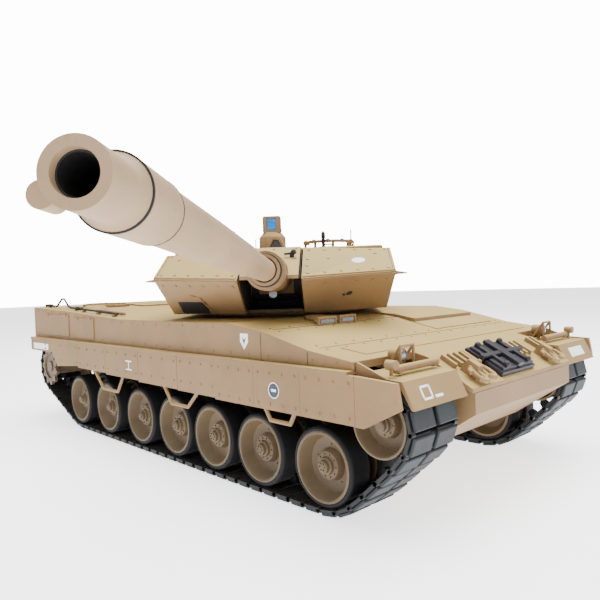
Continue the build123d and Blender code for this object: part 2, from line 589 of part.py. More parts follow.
def gun_barrel():
    tip = [(BARREL_ROOT, 0.0), (BARREL_ROOT, SLEEVE_R), (SLEEVE_REACH, SLEEVE_R),
           (SLEEVE_REACH, NECK_R), (NECK_REACH, NECK_R), (NECK_REACH + 2, BARREL_R),
           (300, BARREL_R), (362, BARREL_TIP_R), (364, 7.1), (384, 7.1), (386, MUZZLE_R),
           (MUZZLE_REACH, MUZZLE_R), (MUZZLE_REACH, 0.0)]
    s = radians(GUN_SLOPE)
    outline = [((d + TRUNNION_Y) / cos(s), r) for d, r in tip]
    barrel = lathe(outline, (0, TRUNNION_Y, TRUNNION_Z), (0, -cos(s), sin(s)))
    block = rod(2.2, at_reach(392, -MUZZLE_R - 0.5, -2.6), at_reach(397, -MUZZLE_R - 0.5, -2.6))
    return barrel + block - rod(BORE_R, at_reach(MUZZLE_REACH - 40), at_reach(MUZZLE_REACH + 2))


def commander_hatch():
    """Lid over the commander's ring."""
    x, y = COMMANDER_XY
    pin_x, pin_z = x - COMMANDER_HINGE, ROOF_Z + HINGE_UP
    return rod(HATCH_R - 3.3, (x, y, ROOF_Z - 1.5), (x, y, ROOF_Z + 0.8)) \
        + rod(HATCH_R - 0.5, (x, y, ROOF_Z + 0.3), (x, y, ROOF_Z + 2.4)) \
        + rod(KNUCKLE_R, (pin_x, y - 5, pin_z), (pin_x, y + 5, pin_z)) \
        + box(pin_x, pin_x + 4, y - 5, y + 5, pin_z - 0.8, pin_z + 0.8)


def loader_hatch():
    x, y = LOADER_XY
    pin_y, pin_z = y + LOADER_HINGE, ROOF_Z + HINGE_UP
    return rod(HATCH_R - 3.3, (x, y, ROOF_Z - 1.5), (x, y, ROOF_Z + 0.8)) \
        + rod(HATCH_R - 2.6, (x, y, ROOF_Z + 0.3), (x, y, ROOF_Z + 2.0)) \
        + rod(KNUCKLE_R, (x - 5, pin_y, pin_z), (x + 5, pin_y, pin_z)) \
        + box(x - 5, x + 5, pin_y - 4, pin_y, pin_z - 0.8, pin_z + 0.4)


def loader_ring():
    """Ring rail around the loader's hatch that carries the machine gun."""
    x, y = LOADER_XY
    ring = tube(HATCH_R + 4.2, HATCH_R + 1.0, (x, y, ROOF_Z + 5.0), (x, y, ROOF_Z + 7.2))
    ring -= box(x - 30, x + 30, y + RING_OPEN, y + 30, ROOF_Z, ROOF_Z + 10)
    for px, py in ring_points(8, HATCH_R + 2.6, 0.2):
        if py < RING_OPEN - 1.5:
            ring += rod(1.1, (x + px, y + py, ROOF_Z + 0.1), (x + px, y + py, ROOF_Z + 5.4))
    return ring


def machine_gun():
    """Light machine gun on a post that turns in the ring's socket."""
    x, y = LOADER_XY[0] - 4.0, LOADER_XY[1] - HATCH_R - 7.5
    z = ROOF_Z + 0.2
    gun = rod(1.4, (x, y, z), (x, y, z + 8.5)) + rod(2.2, (x, y, z), (x, y, z + 1.2))
    gun += box(x - 1.7, x + 1.7, y - 5.0, y + 6.0, z + 8.0, z + 11.8)
    gun += rod(1.1, (x, y - 4.5, z + 10.2), (x, y - 26.0, z + 10.2))
    return gun + prism_x([(y + 5.5, z + 8.6), (y + 8.5, z + 8.2), (y + 8.5, z + 11.2),
                          (y + 5.5, z + 11.4)], x - 1.2, x + 1.2)


def peri_sight():
    """Stabilised sight: round base, square head with its window facing forward."""
    x, y = SIGHT_XY
    base = rod(SIGHT_SPIGOT, (x, y, ROOF_Z - 4), (x, y, ROOF_Z + 1))
    base += rod(12.0, (x, y, ROOF_Z + 0.4), (x, y, ROOF_Z + 14.0))
    base += Solid.make_cone(12.0, 8.5, 4.5, Plane((x, y, ROOF_Z + 14.0)))
    head = box(x - 7.4, x + 7.4, y - 7.0, y + 7.0, ROOF_Z + 18.4, SIGHT_TOP_Z)
    head -= box(x - 4.2, x + 4.2, y - 8.0, y - 5.6, ROOF_Z + 20.4, SIGHT_TOP_Z - 1.8)
    return [base + head]


# ---- small fittings -------------------------------------------------------------------------
def turret_fittings():
    """Sight hood, guard frame, discharger banks, stowage boxes and lifting eyes."""
    items = []
    hood = prism([(-8.0, -27, ROOF_Z + 0.05), (8.0, -27, ROOF_Z + 0.05), (3.2, -27, ROOF_Z + 8.4),
                  (-3.2, -27, ROOF_Z + 8.4)], (0, 24, 0))
    hood -= prism([(-5.8, -28, ROOF_Z - 0.5), (5.8, -28, ROOF_Z - 0.5), (2.0, -28, ROOF_Z + 6.8),
                   (-2.0, -28, ROOF_Z + 6.8)], (0, 20, 0))
    items.append(Location((HOOD_X, 0, 0)) * hood)
    frame = rod(0.75, (GUARD_X[0], GUARD_Y, GUARD_TOP), (GUARD_X[1], GUARD_Y, GUARD_TOP))
    frame += rod(0.75, (GUARD_X[0], GUARD_Y, GUARD_TOP - 9), (GUARD_X[1], GUARD_Y, GUARD_TOP - 9))
    for x in GUARD_X:
        frame += rod(1.0, (x, GUARD_Y, ROOF_Z + 0.1), (x, GUARD_Y, GUARD_TOP + 1.7))
    items.append(frame)
    for s in (-1, 1):
        rail = box(min(s * 78.2, s * 81.0), max(s * 78.2, s * 81.0), -8, 30, 136, 142)
        for i in range(4):
            y = -5 + i * 9.0
            rail += rod(2.9, (s * 82.4, y, 138.6), (s * 88.5, y - 2.5, 145.0))
        items.append(rail)
        items.append(box(min(s * 64.3, s * 78), max(s * 64.3, s * 78), 70, 150, 124, 150))
    items.append(box(-52, 52, BUSTLE_REAR_Y + 0.2, BUSTLE_REAR_Y + 10, 122, 151))
    for x, y in ((-56, -20), (56, -20), (-52, 130), (52, 130)):
        items.append(tube(2.6, 1.3, (x, y - 0.9, ROOF_Z + 2.9), (x, y + 0.9, ROOF_Z + 2.9))
                     + box(x - 2.6, x + 2.6, y - 0.9, y + 0.9, ROOF_Z + 0.1, ROOF_Z + 1.2))
    items.append(rod(5.0, (10, 66, ROOF_Z + 0.1), (10, 66, ROOF_Z + 6)))
    items.append(rod(1.6, (-40, 146, ROOF_Z + 0.1), (-40, 146, ROOF_Z + 7))
                 + rod(0.6, (-40, 146, ROOF_Z + 6), (-40, 146, ROOF_Z + 22)))
    return items


def on_deck(x, y, shape, lift=0.1):
    """Shape built round (0, 0, 0), laid on the deck at (x, y) with the deck's slope."""
    tilt = degrees(atan2(deck_z(y + 2) - deck_z(y - 2), 4))
    return Location((x, y, deck_z(y) + lift), (tilt, 0, 0)) * shape


def nose_slope():
    return degrees(atan2(NOSE_KNEE[1] - NOSE_TOP_Z - 2.5, NOSE_KNEE[0] - NOSE_Y))


def on_nose(x, along, shape, lift=0.1):
    """Shape laid on the steep nose plate, a distance up it from the front edge."""
    tilt = radians(nose_slope())
    return Location((x, NOSE_Y + along * cos(tilt) - lift * sin(tilt),
                     NOSE_TOP_Z + 2.5 + along * sin(tilt) + lift * cos(tilt)),
                    (nose_slope(), 0, 0)) * shape


def glacis_fittings():
    """Ribs, towing lugs with shackles, mudguard bars and periscope guards."""
    items = []
    for x in (-54, -48, -42, -36):
        items.append(on_nose(x, 17, box(-1.1, 1.1, 0, 10, 0, 2.6)))
    for x in (18, 24, 30):
        items.append(on_nose(x, 14, box(-1.1, 1.1, 0, 13, 0, 2.6)))
    for s in (-1, 1):
        lug = prism_x([(-4, 0), (7, 0), (5.5, 7.5), (-1.5, 7.5)], -2.6, 2.6)
        lug -= rod(1.6, (-4, 2, 4.2), (4, 2, 4.2))
        lug += rod(1.5, (-4.6, 2, 4.2), (4.6, 2, 4.2))
        for a in (-4.4, 4.4):
            lug += rod(1.3, (a, 2, 4.2), (a, -6, 3.2)) + Solid.make_sphere(1.3, Plane((a, -6, 3.2)))
        lug += rod(1.3, (-4.4, -6, 3.2), (4.4, -6, 3.2))
        items.append(on_nose(LUG_X[s], 8.5, lug))
        bar = rod(1.9, (s * 66, -188.5, FENDER_Z + 2.4), (s * 102, -188.5, FENDER_Z + 2.4))
        for x in (69.0, 99.0):
            bar += box(s * x - 1.4, s * x + 1.4, -190.2, -186.8, FENDER_Z + 0.1, FENDER_Z + 2.0)
        items.append(bar)
        items.append(rod(2.4, (s * 106, -192.5, FENDER_Z + 5.2), (s * 106, -187.0, FENDER_Z + 5.2))
                     + rod(0.9, (s * 106, -189.5, FENDER_Z + 0.1), (s * 106, -189.5, FENDER_Z + 5)))
    for x0, x1 in ((-66.5, -49.5), (-46.5, -30.5)):
        low, high, y = deck_z(-102.5) + 0.1, deck_z(-102.5) + 5.4, -103.0
        guard = box(x0, x1, y - 0.9, y + 0.9, high - 1.4, high)
        for x in (x0, x1 - 1.4):
            guard += box(x, x + 1.4, y - 0.9, y + 0.9, low, high)
        items.append(guard + box(x0 + 2, x1 - 2, y - 0.5, y + 0.9, low, high - 1.0))
    return items


def spare_links():
    """Two spare track links strapped to the nose plate."""
    pitch = 13.4
    links = []
    for row in range(2):
        a, b = row * pitch, (row + 1) * pitch - 0.8
        link = box(-20, 20, a, b, 0, 2.8)
        for x0, x1 in ((-18.5, -1.5), (1.5, 18.5)):
            link += box(x0, x1, a + 1.5, b - 1.5, 2.6, 4.4)
        links.append(on_nose(SPARE_X, 2.4, link))
    return links


def headlights():
    lamps = []
    for s in (-1, 1):
        x, y, z = s * 84.0, -177.0, FENDER_Z + 6.6
        lamps.append(rod(3.7, (x, y - 3.6, z), (x, y + 3.6, z))
                     + rod(1.3, (x, y, FENDER_Z + 0.1), (x, y, z)))
    return lamps


def deck_fittings():
    """Fan grilles, engine deck panels and the filler cover."""
    items = []
    for x in (-54.0, 54.0):
        ring = tube(23.0, 19.5, (0, 0, 0), (0, 0, 2.6))
        for w in (-15, -9, -3, 3, 9, 15):
            ring += box(w - 0.7, w + 0.7, -sqrt(20.5 ** 2 - w * w), sqrt(20.5 ** 2 - w * w), 0.2, 1.8)
        items.append(on_deck(x, 216, ring))
    for x in (-20.0, 0.0, 20.0):
        items.append(on_deck(x, 216, box(-9, 9, -32, 32, 0, 1.3)))
    dome = Solid.make_cone(13.0, 8.5, 3.6, Plane((0, 0, 0)))
    for x in (-84.0, 84.0):
        items.append(on_deck(x, 176.5, dome))
    return items


def rear_fittings():
    """Exhaust louvres, tail lamps and the towing pintle on the rear plate."""
    items = []
    face = REAR_Y + JOINT_GAP
    for s in (-1, 1):
        low, high = min(s * 22, s * 56), max(s * 22, s * 56)
        frame = box(low, high, face, face + 2.4, 84, 106)
        frame -= box(low + 2, high - 2, face + 0.8, face + 3, 86, 104)
        for i in range(5):
            z = 87.5 + i * 3.7
            frame += box(low + 1, high - 1, face + 0.4, face + 2.2, z, z + 1.5)
        items.append(frame)
        lamp = box(s * 100 - 5, s * 100 + 5, face, face + 3.2, 96, 105)
        items.append(lamp + rod(2.8, (s * 100, face + 3, 100.5), (s * 100, face + 4.6, 100.5)))
    pintle = box(-9, 9, face, face + 1.6, 62, 76) + rod(2.2, (0, face, 69), (0, face + 2.4, 69))
    pintle += tube(4.6, 2.2, (-1.4, face + 5, 69), (1.4, face + 5, 69))
    return items + [pintle]


def tow_cable():
    """Tow cable along the right edge of the rear deck, with the loop that stands up, made whole."""
    slope = atan2(deck_z(250) - deck_z(180), 70)
    route = [(0, 1.5, 0), (0, 17, 0), (0, 32, 9.5), (0, 47, 0), (0, 62, 0)]
    path = FilletPolyline(*route, radius=[12.0, 9.0, 12.0])
    section = Plane(origin=route[0], z_dir=(0, 1, 0)) * Circle(CABLE_R)
    pieces = [sweep(section, path=path)]
    for end, way in ((route[0][1], -1), (route[-1][1], 1)):
        y = end + way * 6.0
        eye = rod(3.6, (0, y, -1.2), (0, y, 1.2)) + rod(1.7, (0, end, 0), (0, end + way * 4.5, 0))
        pieces.append(eye - rod(1.9, (0, y, -2), (0, y, 2)))
    place = Location((CABLE_X, CABLE_Y, deck_z(CABLE_Y) + 2 * CABLE_R), (degrees(slope), 0, 0))
    return [place * piece for piece in pieces]


def drive_units():
    """Gearbox and motor for each sprocket."""
    units = []
    for s in (-1, 1):
        gear = box(min(s * 30, s * (TUB_HALF - 3)), max(s * 30, s * (TUB_HALF - 3)),
                   SPROCKET_Y - 22, SPROCKET_Y + 4, BELLY_Z + 17, BELLY_Z + 37)
        gear -= rod(SHAFT_R + RUN_FIT, (s * 25, SPROCKET_Y, SPROCKET_Z),
                    (s * TUB_HALF, SPROCKET_Y, SPROCKET_Z))
        units.append(gear + rod(9.5, (s * 29, SPROCKET_Y - 12, BELLY_Z + 26),
                                (s * 3, SPROCKET_Y - 12, BELLY_Z + 26)))
    return units


def electronics():
    """Control board on its carrier, smoke unit and speaker."""
    board = box(-40, 40, 104, 160, BELLY_Z + 32, BELLY_Z + 33.6)
    for x, y, h in ((-28, 118, 6), (0, 118, 9), (28, 118, 6), (-14, 144, 5), (16, 144, 8)):
        board += box(x - 8, x + 8, y - 7, y + 7, BELLY_Z + 33, BELLY_Z + 33.6 + h)
    speaker = rod(18, (0, -128, BELLY_Z + WALL + 0.2), (0, -128, BELLY_Z + 16))
    smoke = box(-14, 14, 175, 200, BELLY_Z + WALL + 0.2, BELLY_Z + 30)
    return [board, speaker, smoke]


def battery_pack():
    return box(-24, 24, -8, 88, BELLY_Z + WALL + 0.4, BELLY_Z + 25)


def battery_cover():
    y0, y1 = door_span(0.3)
    return box(-BATTERY_DOOR[0] / 2 + 0.3, BATTERY_DOOR[0] / 2 - 0.3, y0, y1, BELLY_Z,
               BELLY_Z + WALL)


def power_switch():
    return box(SWITCH_X - 2, SWITCH_X + 2, SWITCH_Y - 2.1, SWITCH_Y + 2.1, BELLY_Z - 1.2,
               BELLY_Z + 3) + box(SWITCH_X - 2, SWITCH_X + 2, SWITCH_Y - 2.1, SWITCH_Y + 2.1,
                                  BELLY_Z + 2.5, BELLY_Z + 5)


def hull_screws():
    """Screws up through the posts that hold the two hull halves together."""
    screws = []
    for y in POST_Y:
        for x in (POST_IN - TUB_HALF, TUB_HALF - POST_IN):
            screws.append(rod(1.0, (x, y, TUB_TOP_Z - 10), (x, y, TUB_TOP_Z + 0.5))
                          + rod(2.2, (x, y, TUB_TOP_Z + 0.05), (x, y, TUB_TOP_Z + 1.6)))
    return screws


def main():
    os.makedirs("parts", exist_ok=True)
    pins, pitch = pin_places()
    right_track = track(pins)
    save("track_right", right_track)
    save("track_left", flip(right_track))
    first_y = WHEEL_Y[0]
    wheel = road_wheel(first_y, WHEEL_Z)
    arm = swing_arm(first_y, WHEEL_Z)
    for i, y in enumerate(WHEEL_Y, start=1):
        shift = Location((0, y - first_y, 0))
        for side, images in (("right", lambda s: s), ("left", flip)):
            save(f"road_wheel_{side}_{i}", images([shift * s for s in wheel]))
            save(f"swing_arm_{side}_{i}", images([shift * arm]))
    for side, images in (("right", lambda s: s), ("left", flip)):
        save(f"idler_{side}", images(idler()))
        save(f"sprocket_{side}", images([sprocket(pitch)]))
    save("return_rollers", both(return_rollers(pitch)))
    save("lower_hull", [tub()])
    save("upper_hull", [upper_hull()])
    save("side_skirts", both([side_skirts()]))
    save("front_mudguards", both([front_mudguards()]))
    save("driver_hatch", [driver_hatch()])
    save("hull_fittings", glacis_fittings() + deck_fittings() + rear_fittings())
    save("spare_track_links", spare_links())
    save("headlights", headlights())
    save("tow_cable", tow_cable())
    save("drive_units", drive_units())
    save("electronics", electronics())
    save("battery_pack", [battery_pack()])
    save("battery_cover", [battery_cover()])
    save("power_switch", [power_switch()])
    save("hull_screws", hull_screws())
    save("turret_shell", [turret_shell()], turret=True)
    save("wedge_armour", both([wedge()]), turret=True)
    save("turret_ring", [turret_ring()], turret=True)
    save("mantlet", [mantlet()], turret=True)
    save("gun_barrel", [gun_barrel()], turret=True)
    save("commander_hatch", [commander_hatch()], turret=True)
    save("loader_hatch", [loader_hatch()], turret=True)
    save("machine_gun", [machine_gun()], turret=True)
    save("peri_sight", peri_sight(), turret=True)
    save("turret_fittings", turret_fittings() + [loader_ring()], turret=True)


main()
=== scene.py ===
"""Looks of a radio-controlled tank model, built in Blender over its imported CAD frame.

Lengths in the classes are millimetres in the hull's own frame: the front faces -Y, +X is the
tank's left, and heights are counted from the ground. Mould.cast() turns them into metres of the
row frame, whose origin lies on the hull floor under the turret axis.
"""

from __future__ import annotations

import json
import logging
import math
from dataclasses import dataclass
from enum import Enum
from typing import Iterable, Sequence

import bmesh
import bpy
from mathutils import Matrix, Vector

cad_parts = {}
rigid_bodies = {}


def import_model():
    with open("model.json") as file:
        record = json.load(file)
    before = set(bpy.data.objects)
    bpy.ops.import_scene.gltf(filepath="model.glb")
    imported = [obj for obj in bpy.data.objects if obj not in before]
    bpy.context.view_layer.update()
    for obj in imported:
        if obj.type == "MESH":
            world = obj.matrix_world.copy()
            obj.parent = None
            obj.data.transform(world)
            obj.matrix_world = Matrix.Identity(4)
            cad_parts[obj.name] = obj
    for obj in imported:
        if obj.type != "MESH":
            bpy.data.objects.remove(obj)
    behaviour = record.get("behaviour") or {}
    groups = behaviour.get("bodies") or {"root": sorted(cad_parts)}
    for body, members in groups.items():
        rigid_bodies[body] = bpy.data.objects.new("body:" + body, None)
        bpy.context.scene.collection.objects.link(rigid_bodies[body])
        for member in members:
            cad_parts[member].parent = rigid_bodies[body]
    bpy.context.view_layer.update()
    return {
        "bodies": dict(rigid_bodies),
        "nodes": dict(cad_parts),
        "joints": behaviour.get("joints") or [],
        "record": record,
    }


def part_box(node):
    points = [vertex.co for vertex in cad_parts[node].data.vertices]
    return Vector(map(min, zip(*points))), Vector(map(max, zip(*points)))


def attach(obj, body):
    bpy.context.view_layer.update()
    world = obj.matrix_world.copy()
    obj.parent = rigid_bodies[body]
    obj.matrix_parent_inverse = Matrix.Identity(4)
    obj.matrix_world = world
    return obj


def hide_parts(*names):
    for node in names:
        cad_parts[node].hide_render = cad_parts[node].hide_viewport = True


LOG = logging.getLogger("tank")
MM = 0.001
BELLY = 31.0
TURRET_YAW = math.radians(-46.5)
GUN_SLOPE = math.radians(1.8)
TRUNNION = Vector((0.0, -60.0, 131.5))
ROOF = 154.5
SPROCKET_Y, SPROCKET_Z = 239.0, 52.0
NOSE_Y, NOSE_Z = -207.0, 69.5
NOSE_SLOPE = math.atan2(14.5, 26.0)
SPARE_X = -8.0
LUG_X = (-49.0, 40.0)
LAMP_X, LAMP_Y = 84.0, -177.0
MANTLET_HALF = 18.2
WEDGE_IN_X = 20.0
SIGHT_X, SIGHT_Y = -12.0, 40.0
HOOD_X = -3.5
HATCHES = {"commander_hatch": (-33.0, 14.0, 2.4), "loader_hatch": (38.0, 14.0, 2.0)}
PERISCOPES = ((-66.5, -49.5), (-46.5, -30.5))
Colour = tuple[float, float, float]
Point = Sequence[float]


class Side(Enum):
    """The tank's two sides, with the sign of X on each."""

    RIGHT = -1
    LEFT = 1

    @property
    def word(self) -> str:
        """Name of the side as the CAD nodes spell it."""
        return self.name.lower()


# ---------------------------------------------------------------- shader graphs


class Wire:
    """A node socket that takes part in arithmetic."""

    def __init__(self, graph: Graph, socket: bpy.types.NodeSocket) -> None:
        """Wrap one output socket of a graph."""
        self.graph, self.socket = graph, socket

    def _maths(self, operation: str, first: object, second: object) -> Wire:
        """Add one Math node and return its result."""
        return self.graph.add("ShaderNodeMath", {"operation": operation}, {0: first, 1: second})

    def __add__(self, other: object) -> Wire:
        """Sum."""
        return self._maths("ADD", self, other)

    __radd__ = __add__

    def __sub__(self, other: object) -> Wire:
        """Difference."""
        return self._maths("SUBTRACT", self, other)

    def __rsub__(self, other: object) -> Wire:
        """Difference taken from a plain number."""
        return self._maths("SUBTRACT", other, self)

    def __mul__(self, other: object) -> Wire:
        """Product."""
        return self._maths("MULTIPLY", self, other)

    __rmul__ = __mul__

    def power(self, other: object) -> Wire:
        """Raise to a power."""
        return self._maths("POWER", self, other)

    def spread(self, low: float, high: float) -> Wire:
        """Map low..high onto 0..1 and clamp."""
        return self.graph.add("ShaderNodeMapRange", {"clamp": True},
                              {"Value": self, "From Min": low, "From Max": high})


class Graph:
    """The node tree of one material."""

    def __init__(self, name: str) -> None:
        """Start a material with a Principled shader.

        Args:
            name: Name of the material.
        """
        self.material = bpy.data.materials.new(name)
        self.material.use_nodes = True
        self.tree = self.material.node_tree
        self.shader = self.tree.nodes["Principled BSDF"]

    def add(self, kind: str, settings: dict | None = None, sockets: dict | None = None,
            out: int | str = 0) -> Wire:
        """Add a node.

        Args:
            kind: Blender's node type.
            settings: Node properties, set before its sockets; "stops" fills a colour ramp.
            sockets: Values or wires for input sockets, by name or index.
            out: Output socket to return.

        Returns:
            The chosen output as a wire.
        """
        node = self.tree.nodes.new(kind)
        for key, value in (settings or {}).items():
            if key == "stops":
                ramp = node.color_ramp
                while len(ramp.elements) < len(value):
                    ramp.elements.new(0.5)
                for element, (place, colour) in zip(ramp.elements, value):
                    element.position, element.color = place, (*colour, 1.0)
            else:
                setattr(node, key, value)
        for key, value in (sockets or {}).items():
            self.feed(node.inputs[key], value)
        return Wire(self, node.outputs[out])

    def feed(self, socket: bpy.types.NodeSocket, value: object) -> None:
        """Link a wire to a socket, or set a plain value on it."""
        if isinstance(value, Wire):
            self.tree.links.new(value.socket, socket)
        elif isinstance(value, tuple) and len(value) == 3 and socket.type == "RGBA":
            socket.default_value = (*value, 1.0)
        else:
            socket.default_value = value

    def blend(self, mask: Wire | float, first: object, second: object) -> Wire:
        """Mix two colours by a mask."""
        return self.add("ShaderNodeMix", {"data_type": "RGBA"}, {0: mask, 6: first, 7: second}, 2)

    def noise(self, scale: float, detail: float = 3.0, rough: float = 0.55,
              stretch: Point = (1, 1, 1)) -> Wire:
        """Noise on object coordinates, in features per metre."""
        where = self.add("ShaderNodeTexCoord", out="Object")
        mapped = self.add("ShaderNodeMapping", sockets={"Vector": where,
                                                        "Scale": tuple(stretch)})
        return self.add("ShaderNodeTexNoise", sockets={"Vector": mapped, "Scale": scale,
                                                       "Detail": detail, "Roughness": rough})

    def upward(self) -> Wire:
        """How far the surface faces up, from -1 to 1."""
        normal = self.add("ShaderNodeNewGeometry", out="Normal")
        return self.add("ShaderNodeSeparateXYZ", sockets={0: normal}, out=2)

    def finish(self, **sockets: object) -> bpy.types.Material:
        """Feed the Principled shader and return the material."""
        for key, value in sockets.items():
            self.feed(self.shader.inputs[key.replace("_", " ")], value)
        return self.material


@dataclass(frozen=True)
class Finish:
    """A moulded or painted surface: varied tone, fine grain, tops paled by dust and painted light."""

    name: str
    slot: str
    base: Colour
    tone: Colour
    dust: Colour = (0.62, 0.52, 0.36)
    dust_level: float = 0.0
    rough: float = 0.6
    metallic: float = 0.0
    coat: float = 0.0
    grain: float = 900.0
    bump: float = 0.12

    def make(self) -> bpy.types.Material:
        """Build the material.

        Returns:
            The finished node material.
        """
        graph = Graph(self.name)
        broad = graph.noise(28.0, 4.0)
        fine = graph.noise(self.grain, 2.0)
        colour = graph.blend(broad.spread(0.35, 0.68), self.base, self.tone)
        mottle = graph.noise(160.0, 5.0, 0.7)
        darker = tuple(c * 0.86 for c in self.tone)
        colour = graph.blend(mottle.spread(0.52, 0.8) * 0.35, colour, darker)
        rough = fine.spread(0.2, 0.8) * 0.12 + (self.rough - 0.06)
        # Upward faces blend towards a paler colour: partly dust, partly painted light on the lit tops.
        if self.dust_level:
            top_dust_and_light_mask = graph.upward().spread(0.35, 0.95) * (broad * 0.5 + 0.6) * self.dust_level
            colour = graph.blend(top_dust_and_light_mask, colour, self.dust)
            rough = rough + top_dust_and_light_mask * 0.12
        height = graph.add("ShaderNodeBump", sockets={"Strength": self.bump, "Distance": 0.0002,
                                                      "Height": fine + mottle * 0.6})
        return graph.finish(Base_Color=colour, Roughness=rough, Metallic=self.metallic,
                            Coat_Weight=self.coat, Specular_IOR_Level=0.3, Normal=height)


@dataclass(frozen=True)
class Glass:
    """A tinted window: deep colour, low roughness, faint streaks of painted reflection and a clear
    coat.
    """

    name: str
    slot: str
    deep: Colour
    light: Colour
    rough: float = 0.08

    def make(self) -> bpy.types.Material:
        """Build the material.

        Returns:
            The finished node material.
        """
        graph = Graph(self.name)
        # The paler streaks mixed into the base colour are painted reflection.
        reflection_streak = graph.noise(120.0, 2.0, 0.4, (1.0, 1.0, 3.0))
        colour = graph.blend(reflection_streak.spread(0.35, 0.65), self.deep, self.light)
        smear = graph.noise(420.0, 3.0).spread(0.3, 0.9) * 0.1 + self.rough
        return graph.finish(Base_Color=colour, Roughness=smear, Coat_Weight=1.0)


@dataclass(frozen=True)
class Print:
    """A printed mark: slightly worn ink with a faint edge grain."""

    name: str
    slot: str
    ink: Colour
    under: Colour

    def make(self) -> bpy.types.Material:
        """Build the material.

        Returns:
            The finished node material.
        """
        graph = Graph(self.name)
        worn = graph.noise(700.0, 4.0, 0.8).spread(0.66, 0.74)
        colour = graph.blend(worn * 0.6, self.ink, self.under)
        return graph.finish(Base_Color=colour, Roughness=worn * 0.2 + 0.5)


SAND = Finish("sand plastic", "sand_plastic", (0.25, 0.152, 0.070), (0.21, 0.13, 0.060),
              dust=(0.48, 0.35, 0.115), dust_level=0.9, rough=0.58)
SAND_WHEEL = Finish("wheel sand", "wheel_sand", (0.125, 0.085, 0.045), (0.095, 0.065, 0.034),
                    dust_level=0.15, rough=0.5)
SAND_BARREL = Finish("barrel sand", "sand_plastic", (0.33, 0.225, 0.13), (0.28, 0.19, 0.11),
                     dust=(0.50, 0.38, 0.20), dust_level=0.5, rough=0.5)
BLACK = Finish("black plastic", "dark_plastic", (0.012, 0.012, 0.014), (0.02, 0.018, 0.018),
               rough=0.55)
TYRE = Finish("tyre rubber", "wheel_sand", (0.004, 0.004, 0.005), (0.008, 0.008, 0.009),
              dust=(0.03, 0.026, 0.022), dust_level=0.1, rough=0.72, grain=1400, bump=0.25)
LINK = Finish("link metal", "track_metal", (0.016, 0.017, 0.019), (0.03, 0.03, 0.033),
              dust=(0.10, 0.09, 0.075), dust_level=0.35, rough=0.5, metallic=0.55, bump=0.3)
PAD = Finish("pad rubber", "track_metal", (0.016, 0.020, 0.023), (0.028, 0.034, 0.038),
             dust=(0.09, 0.09, 0.085), dust_level=0.2, rough=0.66, grain=1200, bump=0.3)
SPARE = Finish("spare link paint", "spare_grey", (0.014, 0.013, 0.018), (0.026, 0.024, 0.032),
               dust=(0.07, 0.065, 0.07), dust_level=0.25, rough=0.48, bump=0.25)
STEEL = Finish("zinc steel", "steel", (0.42, 0.42, 0.43), (0.34, 0.34, 0.35), rough=0.38,
               metallic=1.0, bump=0.15)
BOARD = Finish("board green", "circuit_green", (0.03, 0.13, 0.06), (0.04, 0.17, 0.08), rough=0.4)
WRAP = Finish("battery wrap", "battery_wrap", (0.05, 0.11, 0.34), (0.06, 0.14, 0.40), rough=0.3)
CORD = Finish("tow cable", "dark_plastic", (0.018, 0.017, 0.017), (0.04, 0.037, 0.035),
              rough=0.6, grain=2200, bump=0.5)
RUST = Finish("tool brown", "sand_plastic", (0.20, 0.105, 0.06), (0.28, 0.15, 0.09),
              dust=(0.4, 0.3, 0.2), dust_level=0.3, rough=0.62)
WINDOW = Glass("sight window", "lamp_clear", (0.0, 0.16, 0.62), (0.0, 0.28, 0.85))
LENS = Glass("lamp lens", "lamp_clear", (0.05, 0.05, 0.055), (0.30, 0.31, 0.32), 0.1)
PORT = Glass("periscope glass", "dark_plastic", (0.003, 0.004, 0.005), (0.010, 0.012, 0.014), 0.25)
WHITE = Print("white print", "sand_plastic", (0.86, 0.87, 0.88), (0.6, 0.5, 0.36))
NAVY = Print("dark print", "sand_plastic", (0.012, 0.022, 0.04), (0.05, 0.05, 0.06))

MADE: dict[str, bpy.types.Material] = {}


def material(finish: Finish | Glass | Print) -> bpy.types.Material:
    """Return a finish's material, building it once."""
    if finish.name not in MADE:
        MADE[finish.name] = finish.make()
    return MADE[finish.name]


# ---------------------------------------------------------------- mesh making


def turned(point: Point) -> Vector:
    """A point of the forward-facing turret, moved to where the turret stands at rest."""
    return Matrix.Rotation(TURRET_YAW, 3, "Z") @ Vector(point)


def frame_point(point: Point) -> Vector:
    """Hull millimetres to metres of the row frame."""
    return (Vector(point) - Vector((0, 0, BELLY))) * MM


def gun_point(reach: float, x: float = 0.0, up: float = 0.0) -> Vector:
    """Point beside the gun's axis, at a distance forward of the turret axis."""
    length = (reach + TRUNNION.y) / math.cos(GUN_SLOPE)
    return TRUNNION + Vector((x, up * math.sin(GUN_SLOPE) - length * math.cos(GUN_SLOPE),
                              up * math.cos(GUN_SLOPE) + length * math.sin(GUN_SLOPE)))


def basis(origin: Point, axis: Point) -> Matrix:
    """Frame whose Z runs along an axis from an origin."""
    return Matrix.Translation(origin) @ Vector(axis).to_track_quat("Z", "Y").to_matrix().to_4x4()


